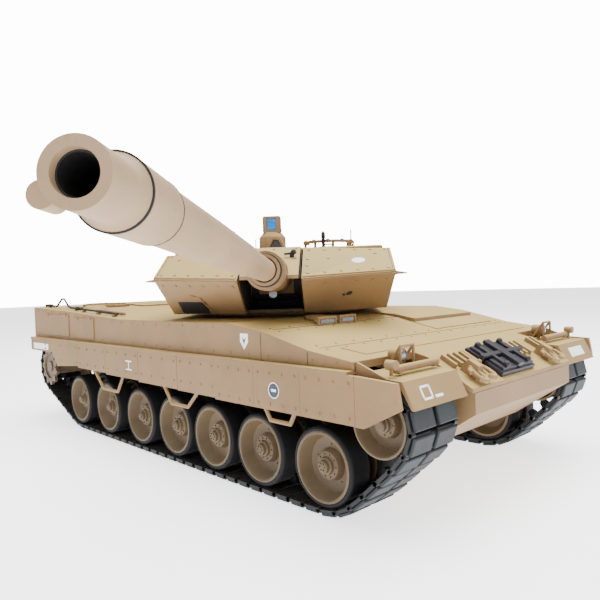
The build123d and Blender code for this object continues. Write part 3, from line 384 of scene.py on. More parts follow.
class Mould:
    """Collects simple solids in millimetres and casts them as one piece."""

    def __init__(self) -> None:
        """Start empty."""
        self.mesh = bmesh.new()
        self.at = Matrix.Identity(4)

    def skin(self, points: Iterable[Point], faces: Iterable[Sequence[int]]) -> Mould:
        """Add vertices, placed by the current frame, and the faces between them."""
        verts = [self.mesh.verts.new(self.at @ Vector(p)) for p in points]
        for face in faces:
            self.mesh.faces.new([verts[i] for i in face])
        return self

    def box(self, x0: float, x1: float, y0: float, y1: float, z0: float, z1: float) -> Mould:
        """Add a block between two corners."""
        return self.prism([(x0, y0, z0), (x1, y0, z0), (x1, y1, z0), (x0, y1, z0)],
                          (0, 0, z1 - z0))

    def prism(self, outline: Sequence[Point], along: Point) -> Mould:
        """Sweep a flat outline along a vector."""
        n = len(outline)
        points = [Vector(p) for p in outline] + [Vector(p) + Vector(along) for p in outline]
        walls = [(i, (i + 1) % n, n + (i + 1) % n, n + i) for i in range(n)]
        return self.skin(points, [tuple(range(n))[::-1], tuple(range(n, 2 * n))] + walls)

    def prism_x(self, outline: Sequence[tuple[float, float]], x0: float, x1: float) -> Mould:
        """Sweep a (y, z) outline from x0 to x1."""
        return self.prism([(x0, y, z) for y, z in outline], (x1 - x0, 0, 0))

    def rod(self, start: Point, end: Point, radius: float, sides: int = 20,
            tip: float | None = None) -> Mould:
        """Add a cylinder, or a cone when the tip radius differs."""
        a, b = Vector(start), Vector(end)
        last = radius if tip is None else tip
        return self.lathe([(0, 0), (0, radius), ((b - a).length, last), ((b - a).length, 0)],
                          a, b - a, sides)

    def lathe(self, profile: Sequence[tuple[float, float]], origin: Point, axis: Point,
              sides: int = 40) -> Mould:
        """Turn a (distance, radius) outline about an axis; radius 0 closes on the axis."""
        frame = basis(origin, axis)
        rings: list[list[int]] = []
        points: list[Vector] = []
        for distance, radius in profile:
            if radius <= 1e-6:
                rings.append([len(points)])
                points.append(frame @ Vector((0, 0, distance)))
                continue
            rings.append(list(range(len(points), len(points) + sides)))
            for i in range(sides):
                turn = 2 * math.pi * i / sides
                points.append(frame @ Vector((radius * math.cos(turn), radius * math.sin(turn),
                                              distance)))
        closed = profile[0][1] > 1e-6
        pairs = list(zip(rings, rings[1:])) + ([(rings[-1], rings[0])] if closed else [])
        faces: list[tuple[int, ...]] = []
        for first, second in pairs:
            for i in range(sides):
                j = (i + 1) % sides
                if len(first) == 1:
                    faces.append((first[0], second[i], second[j]))
                elif len(second) == 1:
                    faces.append((first[i], second[0], first[j]))
                else:
                    faces.append((first[i], second[i], second[j], first[j]))
        return self.skin(points, faces)

    def ball(self, centre: Point, radius: float, sides: int = 14) -> Mould:
        """Add a sphere."""
        steps = [math.pi * i / 8 for i in range(9)]
        return self.lathe([(-radius * math.cos(s), radius * math.sin(s)) for s in steps],
                          centre, (0, 0, 1), sides)

    def pipe(self, route: Sequence[Point], radius: float, sides: int = 10) -> Mould:
        """Follow a polyline with a round bar that has ball corners."""
        for a, b in zip(route, route[1:]):
            self.rod(a, b, radius, sides)
        for p in route[1:-1]:
            self.ball(p, radius, sides)
        return self

    def cast(self, name: str, body: str, finish: Finish | Glass | Print, bevel: float = 0.25,
             turret: bool = False, replaces: Sequence[str] = ()) -> bpy.types.Object:
        """Make the piece.

        Args:
            name: Name of the piece.
            body: CAD body that it rides on.
            finish: Its finish.
            bevel: Width of the rounded edges, in millimetres; 0 leaves them sharp.
            turret: Whether the shape was drawn on the forward-facing turret.
            replaces: CAD nodes that it stands for.

        Returns:
            The new object, riding on its body.
        """
        bmesh.ops.recalc_face_normals(self.mesh, faces=self.mesh.faces)
        for vert in self.mesh.verts:
            vert.co = frame_point(turned(vert.co) if turret else vert.co)
        data = bpy.data.meshes.new(name)
        self.mesh.to_mesh(data)
        self.mesh.free()
        return dress(bpy.data.objects.new(name, data), body, finish, bevel, replaces)


def dress(piece: bpy.types.Object, body: str, finish: Finish | Glass | Print,
          bevel: float = 0.25, replaces: Sequence[str] = ()) -> bpy.types.Object:
    """Link a piece, finish it and let it ride on its body.

    Args:
        piece: Object with its place in its mesh.
        body: CAD body.
        finish: Its finish.
        bevel: Edge width in millimetres.
        replaces: CAD nodes that it stands for.

    Returns:
        The same object.
    """
    if piece.name not in bpy.context.collection.objects:
        bpy.context.collection.objects.link(piece)
    piece.data.materials.clear()
    piece.data.materials.append(material(finish))
    soften(piece, bevel)
    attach(piece, body)
    if replaces:
        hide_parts(*replaces)
    LOG.info("piece %s on %s", piece.name, body)
    return piece


def soften(piece: bpy.types.Object, bevel: float) -> None:
    """Round the sharp edges of a piece and shade its curves smooth."""
    if bevel > 0:
        edge = piece.modifiers.new("edges", "BEVEL")
        edge.width = bevel * MM
        edge.segments = 2
        edge.limit_method = "ANGLE"
        edge.angle_limit = math.radians(40)
        edge.use_clamp_overlap = True
        edge.harden_normals = False
    piece.data.polygons.foreach_set("use_smooth", [True] * len(piece.data.polygons))
    piece.data.set_sharp_from_angle(angle=math.radians(38))


def dress_node(node: str, finish: Finish | Glass | Print, bevel: float = 0.25) -> None:
    """Give a carried-over CAD node its finish and rounded edges."""
    piece = frame["nodes"][node]
    weld = piece.modifiers.new("merge", "WELD")
    weld.merge_threshold = 0.000005
    if bevel > 0:
        edge = piece.modifiers.new("edges", "BEVEL")
        edge.width = bevel * MM
        edge.segments = 2
        edge.limit_method = "ANGLE"
        edge.angle_limit = math.radians(40)
    for slot in piece.material_slots:
        slot.material = material(finish)
    LOG.info("node %s in %s", node, finish.name)


# ---------------------------------------------------------------- geometry nodes


class Tree:
    """A Geometry Nodes tree with named inputs."""

    def __init__(self, name: str) -> None:
        """Start a tree with one geometry input and output."""
        self.group = bpy.data.node_groups.new(name, "GeometryNodeTree")
        self.face = self.group.interface
        self.face.new_socket("Geometry", in_out="INPUT", socket_type="NodeSocketGeometry")
        self.face.new_socket("Geometry", in_out="OUTPUT", socket_type="NodeSocketGeometry")
        self.entry = self.group.nodes.new("NodeGroupInput")
        self.exit = self.group.nodes.new("NodeGroupOutput")

    def take(self, name: str, kind: str) -> bpy.types.NodeSocket:
        """Add a named input and return its socket inside the tree."""
        self.face.new_socket(name, in_out="INPUT", socket_type=kind)
        return self.entry.outputs[name]

    def add(self, kind: str, settings: dict | None = None, sockets: dict | None = None,
            out: int | str = 0) -> bpy.types.NodeSocket:
        """Add a node, set it, link its sockets and return one output."""
        node = self.group.nodes.new(kind)
        for key, value in (settings or {}).items():
            setattr(node, key, value)
        for key, value in (sockets or {}).items():
            if isinstance(value, bpy.types.NodeSocket):
                self.group.links.new(value, node.inputs[key])
            else:
                node.inputs[key].default_value = value
        return node.outputs[out]

    def close(self, instances: bpy.types.NodeSocket, finish: bpy.types.NodeSocket) -> None:
        """End the tree in Realize Instances and Set Material."""
        real = self.add("GeometryNodeRealizeInstances", sockets={"Geometry": instances})
        done = self.add("GeometryNodeSetMaterial", sockets={"Geometry": real,
                                                            "Material": finish})
        self.group.links.new(done, self.exit.inputs[0])

    def run(self, name: str, points: bpy.types.Mesh, values: dict) -> bpy.types.Object:
        """Evaluate the tree on a mesh of points and return a plain mesh object.

        Args:
            name: Name of the result.
            points: Mesh that feeds the tree.
            values: Input values by name.

        Returns:
            An object with the result as its own mesh and no modifier.
        """
        seed = bpy.data.objects.new(name + "_points", points)
        bpy.context.collection.objects.link(seed)
        modifier = seed.modifiers.new("build", "NODES")
        modifier.node_group = self.group
        for item in self.face.items_tree:
            if item.item_type == "SOCKET" and item.in_out == "INPUT" and item.name in values:
                modifier[item.identifier] = values[item.name]
        bpy.context.view_layer.update()
        made = seed.evaluated_get(bpy.context.evaluated_depsgraph_get())
        data = bpy.data.meshes.new_from_object(made)
        bpy.data.objects.remove(seed)
        data.name = name
        return bpy.data.objects.new(name, data)


class Studs:
    """Rows of bolts, rivets and screws, set square on whatever they sit on."""

    def __init__(self) -> None:
        """Build the tree once."""
        tree = Tree("studs")
        radius = tree.take("Head radius", "NodeSocketFloat")
        height = tree.take("Head height", "NodeSocketFloat")
        sides = tree.take("Sides", "NodeSocketInt")
        finish = tree.take("Finish", "NodeSocketMaterial")
        head = tree.add("GeometryNodeMeshCylinder", {"fill_type": "NGON"},
                        {"Vertices": sides, "Radius": radius, "Depth": height}, "Mesh")
        way = tree.add("GeometryNodeInputNamedAttribute", {"data_type": "FLOAT_VECTOR"},
                       {"Name": "way"})
        turn = tree.add("FunctionNodeAlignRotationToVector", {"axis": "Z"}, {"Vector": way})
        spots = tree.add("GeometryNodeInstanceOnPoints",
                         sockets={"Points": tree.entry.outputs[0], "Instance": head,
                                  "Rotation": turn})
        tree.close(spots, finish)
        self.tree = tree

    def set(self, name: str, body: str, finish: Finish, spots: Sequence[tuple[Point, Point]],
            radius: float = 0.8, height: float = 0.7, sides: int = 8,
            turret: bool = False) -> bpy.types.Object:
        """Set studs on a body.

        Args:
            name: Name of the piece.
            body: Body that it rides on.
            finish: Its finish.
            spots: (place, outward direction) of each stud, in hull millimetres.
            radius: Head radius in millimetres.
            height: Head height in millimetres, half of it proud of the surface.
            sides: Corners of the head.
            turret: Whether the places are on the forward-facing turret.

        Returns:
            The piece.
        """
        places = [turned(p) if turret else Vector(p) for p, _ in spots]
        ways = [turned(w) if turret else Vector(w) for _, w in spots]
        data = bpy.data.meshes.new(name)
        data.from_pydata([frame_point(p) for p in places], [], [])
        store = data.attributes.new("way", "FLOAT_VECTOR", "POINT")
        store.data.foreach_set("vector", [c for w in ways for c in w.normalized()])
        piece = self.tree.run(name, data, {"Head radius": radius * MM,
                                           "Head height": height * MM, "Sides": sides,
                                           "Finish": material(finish)})
        return dress(piece, body, finish, 0.0)


class Links:
    """Track links set along a closed loop by Geometry Nodes."""

    def __init__(self) -> None:
        """Build the tree once."""
        tree = Tree("links")
        link = tree.take("Link", "NodeSocketObject")
        finish = tree.take("Finish", "NodeSocketMaterial")
        loop = tree.add("GeometryNodeMeshToCurve", sockets={"Mesh": tree.entry.outputs[0]})
        tangent = tree.add("GeometryNodeInputTangent")
        turn = tree.add("FunctionNodeAlignRotationToVector", {"axis": "Y", "pivot_axis": "X"},
                        {"Vector": tangent})
        shape = tree.add("GeometryNodeObjectInfo", sockets={"Object": link}, out="Geometry")
        spots = tree.add("GeometryNodeInstanceOnPoints",
                         sockets={"Points": loop, "Instance": shape, "Rotation": turn})
        tree.close(spots, finish)
        self.tree = tree

    def lay(self, name: str, loop: Sequence[Vector], link: bpy.types.Object,
            finish: Finish) -> bpy.types.Object:
        """Set one link at each point of a closed loop, in metres of the row frame."""
        data = bpy.data.meshes.new(name)
        n = len(loop)
        data.from_pydata(list(loop), [(i, (i + 1) % n) for i in range(n)], [])
        return self.tree.run(name, data, {"Link": link, "Finish": material(finish)})


# ---------------------------------------------------------------- running gear


@dataclass
class TrackLoop:
    """The two tracks: metal links with guide horns, and a pair of rubber pads on each."""

    links: int = 82
    wheel_radius: float = 21.9
    idler_radius: float = 16.4
    clear: float = 0.4
    thick: float = 2.6
    pad: float = 1.72
    width: float = 39.6
    lead: float = 2.5
    teeth: int = 11
    horn: float = 6.0

    def _axle(self, node: str) -> tuple[float, float]:
        """Centre (y, z) of a wheel's CAD node, in hull millimetres."""
        low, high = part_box(node)
        middle = (low + high) / 2 / MM
        return middle.y, middle.z + BELLY

    def _circles(self, pitch: float) -> list[tuple[float, float, float]]:
        """Circles that the line of pins runs round."""
        def bend(radius: float) -> float:
            """Radius of the pins where the track wraps a wheel."""
            return radius + self.clear + self.thick / 2 + pitch * pitch / (8 * radius)

        first, wheel_z = self._axle("road_wheel_right_1")
        last, _ = self._axle("road_wheel_right_7")
        idler_y, idler_z = self._axle("idler_right")
        pin_z = wheel_z - self.wheel_radius - self.clear - self.thick / 2
        end = bend(self.wheel_radius)
        return [(first - self.lead, pin_z + end, end), (idler_y, idler_z, bend(self.idler_radius)),
                (SPROCKET_Y, SPROCKET_Z, pitch / (2 * math.sin(math.pi / self.teeth))),
                (last + self.lead, pin_z + end, end)]

    def _path(self, pitch: float) -> list[tuple]:
        """Straight runs and arcs of the pin line."""
        circles = self._circles(pitch)
        runs = []
        for (y0, z0, r0), (y1, z1, r1) in zip(circles, circles[1:] + circles[:1]):
            reach = math.hypot(y1 - y0, z1 - z0)
            side = math.atan2(z1 - z0, y1 - y0) + math.pi / 2 + math.asin((r1 - r0) / reach)
            runs.append(((y0 + r0 * math.cos(side), z0 + r0 * math.sin(side)),
                         (y1 + r1 * math.cos(side), z1 + r1 * math.sin(side)), side))
        pieces: list[tuple] = []
        for i, (start, end, side) in enumerate(runs):
            pieces.append(("line", start, end, math.dist(start, end)))
            turn = (side - runs[(i + 1) % len(runs)][2]) % (2 * math.pi)
            y, z, r = circles[(i + 1) % len(circles)]
            pieces.append(("arc", (y, z, r, side), turn, turn * r))
        return pieces

    def _on(self, pieces: list[tuple], along: float) -> tuple[float, float]:
        """Point of the pin line at a distance from its start."""
        along %= sum(p[3] for p in pieces)
        for kind, a, b, length in pieces:
            if along <= length:
                if kind == "line":
                    t = along / length
                    return a[0] + (b[0] - a[0]) * t, a[1] + (b[1] - a[1]) * t
                angle = a[3] - b * along / length
                return a[0] + a[2] * math.cos(angle), a[1] + a[2] * math.sin(angle)
            along -= length
        return pieces[0][1]

    def middles(self, x: float) -> tuple[list[Vector], float]:
        """Middle of every link, in metres of the row frame, and the pitch."""
        pitch = 11.5
        for _ in range(20):
            pitch = sum(p[3] for p in self._path(pitch)) / self.links
        pieces = self._path(pitch)
        pins = [self._on(pieces, i * pitch) for i in range(self.links)]
        ends = pins[1:] + pins[:1]
        return [frame_point((x, (a[0] + b[0]) / 2, (a[1] + b[1]) / 2))
                for a, b in zip(pins, ends)], pitch

    def _shape(self, mould: Mould, name: str) -> bpy.types.Object:
        """Turn a mould into a bare mesh that the tree can repeat."""
        bmesh.ops.recalc_face_normals(mould.mesh, faces=mould.mesh.faces)
        data = bpy.data.meshes.new(name)
        for vert in mould.mesh.verts:
            vert.co *= MM
        mould.mesh.to_mesh(data)
        mould.mesh.free()
        piece = bpy.data.objects.new(name, data)
        bpy.context.collection.objects.link(piece)
        return piece

    def _metal(self, pitch: float) -> bpy.types.Object:
        """One link: two cast bodies, end connectors, pins and the guide horn."""
        mould = Mould()
        half, t = self.width / 2, self.thick / 2
        long = pitch / 2 - 0.75
        for s in (-1, 1):
            mould.prism_x([(-long, -t), (long, -t), (long, t * 0.4), (long - 0.9, t),
                           (-long + 0.9, t), (-long, t * 0.4)], s * 2.6, s * (half - 2.6))
            mould.prism_x([(-long + 1.4, t), (long - 1.4, t), (long - 2.2, t + 0.8),
                           (-long + 2.2, t + 0.8)], s * 4.2, s * (half - 4.0))
            for y in (-pitch / 2, pitch / 2):
                mould.rod((s * (half - 2.9), y, 0), (s * half, y, 0), t * 0.98, 10)
            mould.box(s * (half - 2.4), s * (half - 0.3), -pitch / 2, pitch / 2, -t * 0.7,
                      t * 0.7)
            mould.box(s * 2.4, s * 0.2, -long + 0.6, long - 0.6, -t * 0.8, t * 0.8)
        mould.prism_x([(-3.4, -t + 0.2), (3.4, -t + 0.2), (2.3, -t - self.horn + 1.2),
                       (1.3, -t - self.horn), (-1.3, -t - self.horn),
                       (-2.3, -t - self.horn + 1.2)], -1.9, 1.9)
        return self._shape(mould, "link_metal_shape")

    def _rubber(self, pitch: float) -> bpy.types.Object:
        """The pair of chamfered pads of one link."""
        mould = Mould()
        half, t = self.width / 2, self.thick / 2
        long = pitch / 2 - 1.2
        for s in (-1, 1):
            x0, x1 = (1.6, half - 1.5) if s > 0 else (-half + 1.5, -1.6)
            low = [(x0, -long, t + 0.2), (x1, -long, t + 0.2), (x1, long, t + 0.2),
                   (x0, long, t + 0.2)]
            mid = [(x, y, t + self.pad - 0.5) for x, y, _ in low]
            top = [(x0 + 0.5, -long + 0.5, t + self.pad), (x1 - 0.5, -long + 0.5, t + self.pad),
                   (x1 - 0.5, long - 0.5, t + self.pad), (x0 + 0.5, long - 0.5, t + self.pad)]
            walls = [(i, (i + 1) % 4, 4 + (i + 1) % 4, 4 + i) for i in range(4)]
            mould.skin(low + mid + top, [(3, 2, 1, 0), (8, 9, 10, 11)] + walls
                        + [tuple(i + 4 for i in wall) for wall in walls])
        return self._shape(mould, "link_pad_shape")

    def build(self, tree: Links) -> None:
        """Lay both tracks."""
        _, pitch = self.middles(0.0)
        metal, rubber = self._metal(pitch), self._rubber(pitch)
        for side in Side:
            low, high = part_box(f"track_{side.word}")
            x = (low.x + high.x) / 2 / MM
            loop, _ = self.middles(x)
            steel = tree.lay(f"track_links_{side.word}", loop, metal, LINK)
            pads = tree.lay(f"track_pads_{side.word}", loop, rubber, PAD)
            dress(steel, "hull", LINK, 0.0, [f"track_{side.word}"])
            dress(pads, "hull", PAD, 0.0)
        for shape in (metal, rubber):
            bpy.data.objects.remove(shape)


@dataclass
class Wheels:
    """Road wheels, idlers and sprockets."""

    tyre_depth: float = 2.5
    disc: float = 15.2
    dish: float = 8.6
    hub: float = 7.4
    wheels: int = 7

    def _disc(self, mould: Mould, x: float, y: float, z: float, out: int, rim: float,
              outer: bool) -> None:
        """Add one dished disc whose open face is at x, facing the direction out."""
        s = rim / 19.4
        face = [(-0.4, 0), (-0.4, 2.6 * s), (-0.9, 3.3 * s), (-2.6, 3.6 * s), (-2.9, 4.6 * s),
                (-4.4, 5.0 * s), (-4.7, 7.6 * s), (-5.5, 8.0 * s), (-self.dish, 9.0 * s),
                (-self.dish, 12.6 * s), (-self.dish + 0.8, 15.0 * s), (-3.4, 17.0 * s),
                (-0.9, 17.5 * s), (-0.2, 17.9 * s), (0, 18.4 * s)] if outer else \
            [(-3.0, 0), (-3.0, 6.0 * s), (-6.0, 9.0 * s), (-7.0, 14.0 * s), (-3.0, 16.8 * s),
             (0, 17.6 * s)]
        back = [(-0.3, rim), (-self.disc + 0.3, rim), (-self.disc, rim - 0.5),
                (-self.disc, rim - 2.0), (-self.dish - 2.4, rim - 3.6), (-self.dish - 2.4, 0)]
        mould.lathe(face + back, (x, y, z), (out, 0, 0), 56)

    def _tyre(self, mould: Mould, x: float, y: float, z: float, out: int, rim: float) -> None:
        """Add one tyre with rounded shoulders."""
        r, d = rim + self.tyre_depth, self.disc
        mould.lathe([(-0.5, rim + 0.05), (-0.2, rim + 0.9), (-0.5, r - 0.8), (-1.3, r - 0.1),
                     (-2.2, r), (-d + 2.2, r), (-d + 1.3, r - 0.1), (-d + 0.5, r - 0.8),
                     (-d + 0.2, rim + 0.9), (-d + 0.5, rim + 0.05)], (x, y, z), (out, 0, 0), 56)

    def _place(self, node: str) -> tuple[Vector, Vector]:
        """Box of a node in hull millimetres."""
        low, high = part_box(node)
        lift = Vector((0, 0, BELLY))
        return low / MM + lift, high / MM + lift

    def build(self, studs: Studs) -> None:
        """Build every wheel."""
        for side in Side:
            for index in range(1, self.wheels + 1):
                self._road_wheel(studs, side, index)
                dress_node(f"swing_arm_{side.word}_{index}", SAND, 0.2)
            self._idler(studs, side)
            self._sprocket(studs, side)
        dress_node("return_rollers", SAND_WHEEL, 0.2)

    def _road_wheel(self, studs: Studs, side: Side, index: int) -> None:
        """One double wheel with its bolts and two tyres."""
        name = f"road_wheel_{side.word}_{index}"
        low, high = self._place(name)
        y, z = (low.y + high.y) / 2, (low.z + high.z) / 2
        rim = (high.z - low.z) / 2 - self.tyre_depth
        outside = high.x if side is Side.LEFT else low.x
        inside = low.x if side is Side.LEFT else high.x
        out = side.value
        discs, tyres = Mould(), Mould()
        self._disc(discs, outside, y, z, out, rim, True)
        self._disc(discs, inside, y, z, -out, rim, False)
        discs.rod((outside - out * 10, y, z), (inside + out * 9, y, z), 6.0)
        self._tyre(tyres, outside, y, z, out, rim)
        self._tyre(tyres, inside, y, z, -out, rim)
        discs.cast(f"wheel_{side.word}_{index}", name, SAND_WHEEL, 0.0, replaces=[name])
        tyres.cast(f"tyres_{side.word}_{index}", name, TYRE, 0.0)
        ring = self._ring(10, 6.3, outside - out * 4.45, y, z, out) \
            + self._ring(6, 1.9, outside - out * 0.35, y, z, out) \
            + self._ring(5, 10.8, outside - out * (self.dish - 0.1), y, z, out, 0.3)
        studs.set(f"wheel_bolts_{side.word}_{index}", name, SAND_WHEEL, ring, 0.55, 0.9, 6)

    def _ring(self, count: int, radius: float, x: float, y: float, z: float, out: int,
              start: float = 0.0) -> list[tuple[Point, Point]]:
        """Evenly spaced stud places on a circle that faces out."""
        turn = [start + 2 * math.pi * i / count for i in range(count)]
        return [((x, y + radius * math.cos(t), z + radius * math.sin(t)), (out, 0, 0))
                for t in turn]

    def _idler(self, studs: Studs, side: Side) -> None:
        """Front idler: the same dish without tyres, with an open hub."""
        name = f"idler_{side.word}"
        low, high = self._place(name)
        y, z = (low.y + high.y) / 2, (low.z + high.z) / 2
        rim = (high.z - low.z) / 2
        outside = high.x if side is Side.LEFT else low.x
        inside = low.x if side is Side.LEFT else high.x
        out = side.value
        discs = Mould()
        self._disc(discs, outside, y, z, out, rim, True)
        self._disc(discs, inside, y, z, -out, rim, False)
        discs.rod((outside - out * 10, y, z), (inside + out * 9, y, z), 5.4)
        discs.cast(f"idler_wheel_{side.word}", name, SAND_WHEEL, 0.0, replaces=[name])
        ring = self._ring(8, 5.3, outside - out * 4.45, y, z, out)
        studs.set(f"idler_bolts_{side.word}", name, SAND_WHEEL, ring, 0.55, 0.9, 6)

    def _sprocket(self, studs: Studs, side: Side) -> None:
        """Drive sprocket: the CAD gear with a hub cap and bolts."""
        name = f"sprocket_{side.word}"
        dress_node(name, SAND_WHEEL, 0.2)
        low, high = self._place(name)
        y, z = 239.0, 52.0
        out = side.value
        face = high.x if side is Side.LEFT else low.x
        cap = Mould()
        cap.lathe([(-1.6, 0), (-1.6, 5.2), (-0.6, 5.0), (-0.15, 3.2), (-0.1, 0)],
                  (face, y, z), (out, 0, 0), 32)
        cap.cast(f"sprocket_cap_{side.word}", name, SAND_WHEEL, 0.0)
        ring = self._ring(8, 4.1, face - out * 0.55, y, z, out)
        studs.set(f"sprocket_bolts_{side.word}", name, SAND_WHEEL, ring, 0.45, 0.5, 6)


# ---------------------------------------------------------------- hull


DECK_LINE = ((-171.0, 86.5), (-139.5, 90.6), (-101.5, 99.4), (-73.0, 103.0), (71.0, 103.0),
             (165.0, 108.0), (257.0, 111.7))


def deck_height(y: float) -> float:
    """Height of the deck over station y."""
    for (y0, z0), (y1, z1) in zip(DECK_LINE, DECK_LINE[1:]):
        if y <= y1:
            return z0 + (z1 - z0) * (y - y0) / (y1 - y0)
    return DECK_LINE[-1][1]


def nose_frame(x: float) -> Matrix:
    """Frame on the front edge of the nose plate, with its Y up the plate."""
    return Matrix.Translation((x, NOSE_Y, NOSE_Z)) @ Matrix.Rotation(NOSE_SLOPE, 4, "X")


def deck_frame(x: float, y: float, lift: float = 0.0) -> Matrix:
    """Frame on the deck at (x, y), with its Y up the slope and its Z out of the plate."""
    tilt = math.atan2(deck_height(y + 1) - deck_height(y - 1), 2)
    return Matrix.Translation((x, y, deck_height(y) + lift)) @ Matrix.Rotation(tilt, 4, "X")


@dataclass(frozen=True)
class Panel:
    """Flat four-cornered plate: a to b is its front edge, d to c the edge behind it."""

    a: Point
    b: Point
    c: Point
    d: Point
    outward: float = 1.0

    def way(self) -> Vector:
        """Direction out of the plate."""
        across, along = Vector(self.b) - Vector(self.a), Vector(self.d) - Vector(self.a)
        return across.cross(along).normalized() * self.outward

    def at(self, u: float, v: float, lift: float = 0.0) -> Vector:
        """Point a share across and a share along the plate, lifted off it in millimetres."""
        near = Vector(self.a).lerp(Vector(self.b), u)
        far = Vector(self.d).lerp(Vector(self.c), u)
        return near.lerp(far, v) + self.way() * lift

    def patch(self, mould: Mould, across: tuple[float, float], along: tuple[float, float],
              low: float, high: float) -> None:
        """Add a thin plate over part of the panel."""
        (u0, u1), (v0, v1) = across, along
        outline = [self.at(u, v, low) for u, v in ((u0, v0), (u1, v0), (u1, v1), (u0, v1))]
        mould.prism(outline, self.way() * (high - low))

    def row(self, shares: Iterable[float], v: float) -> list[tuple[Point, Point]]:
        """Bolt places in one row."""
        return [(self.at(u, v, 0.05), self.way()) for u in shares]


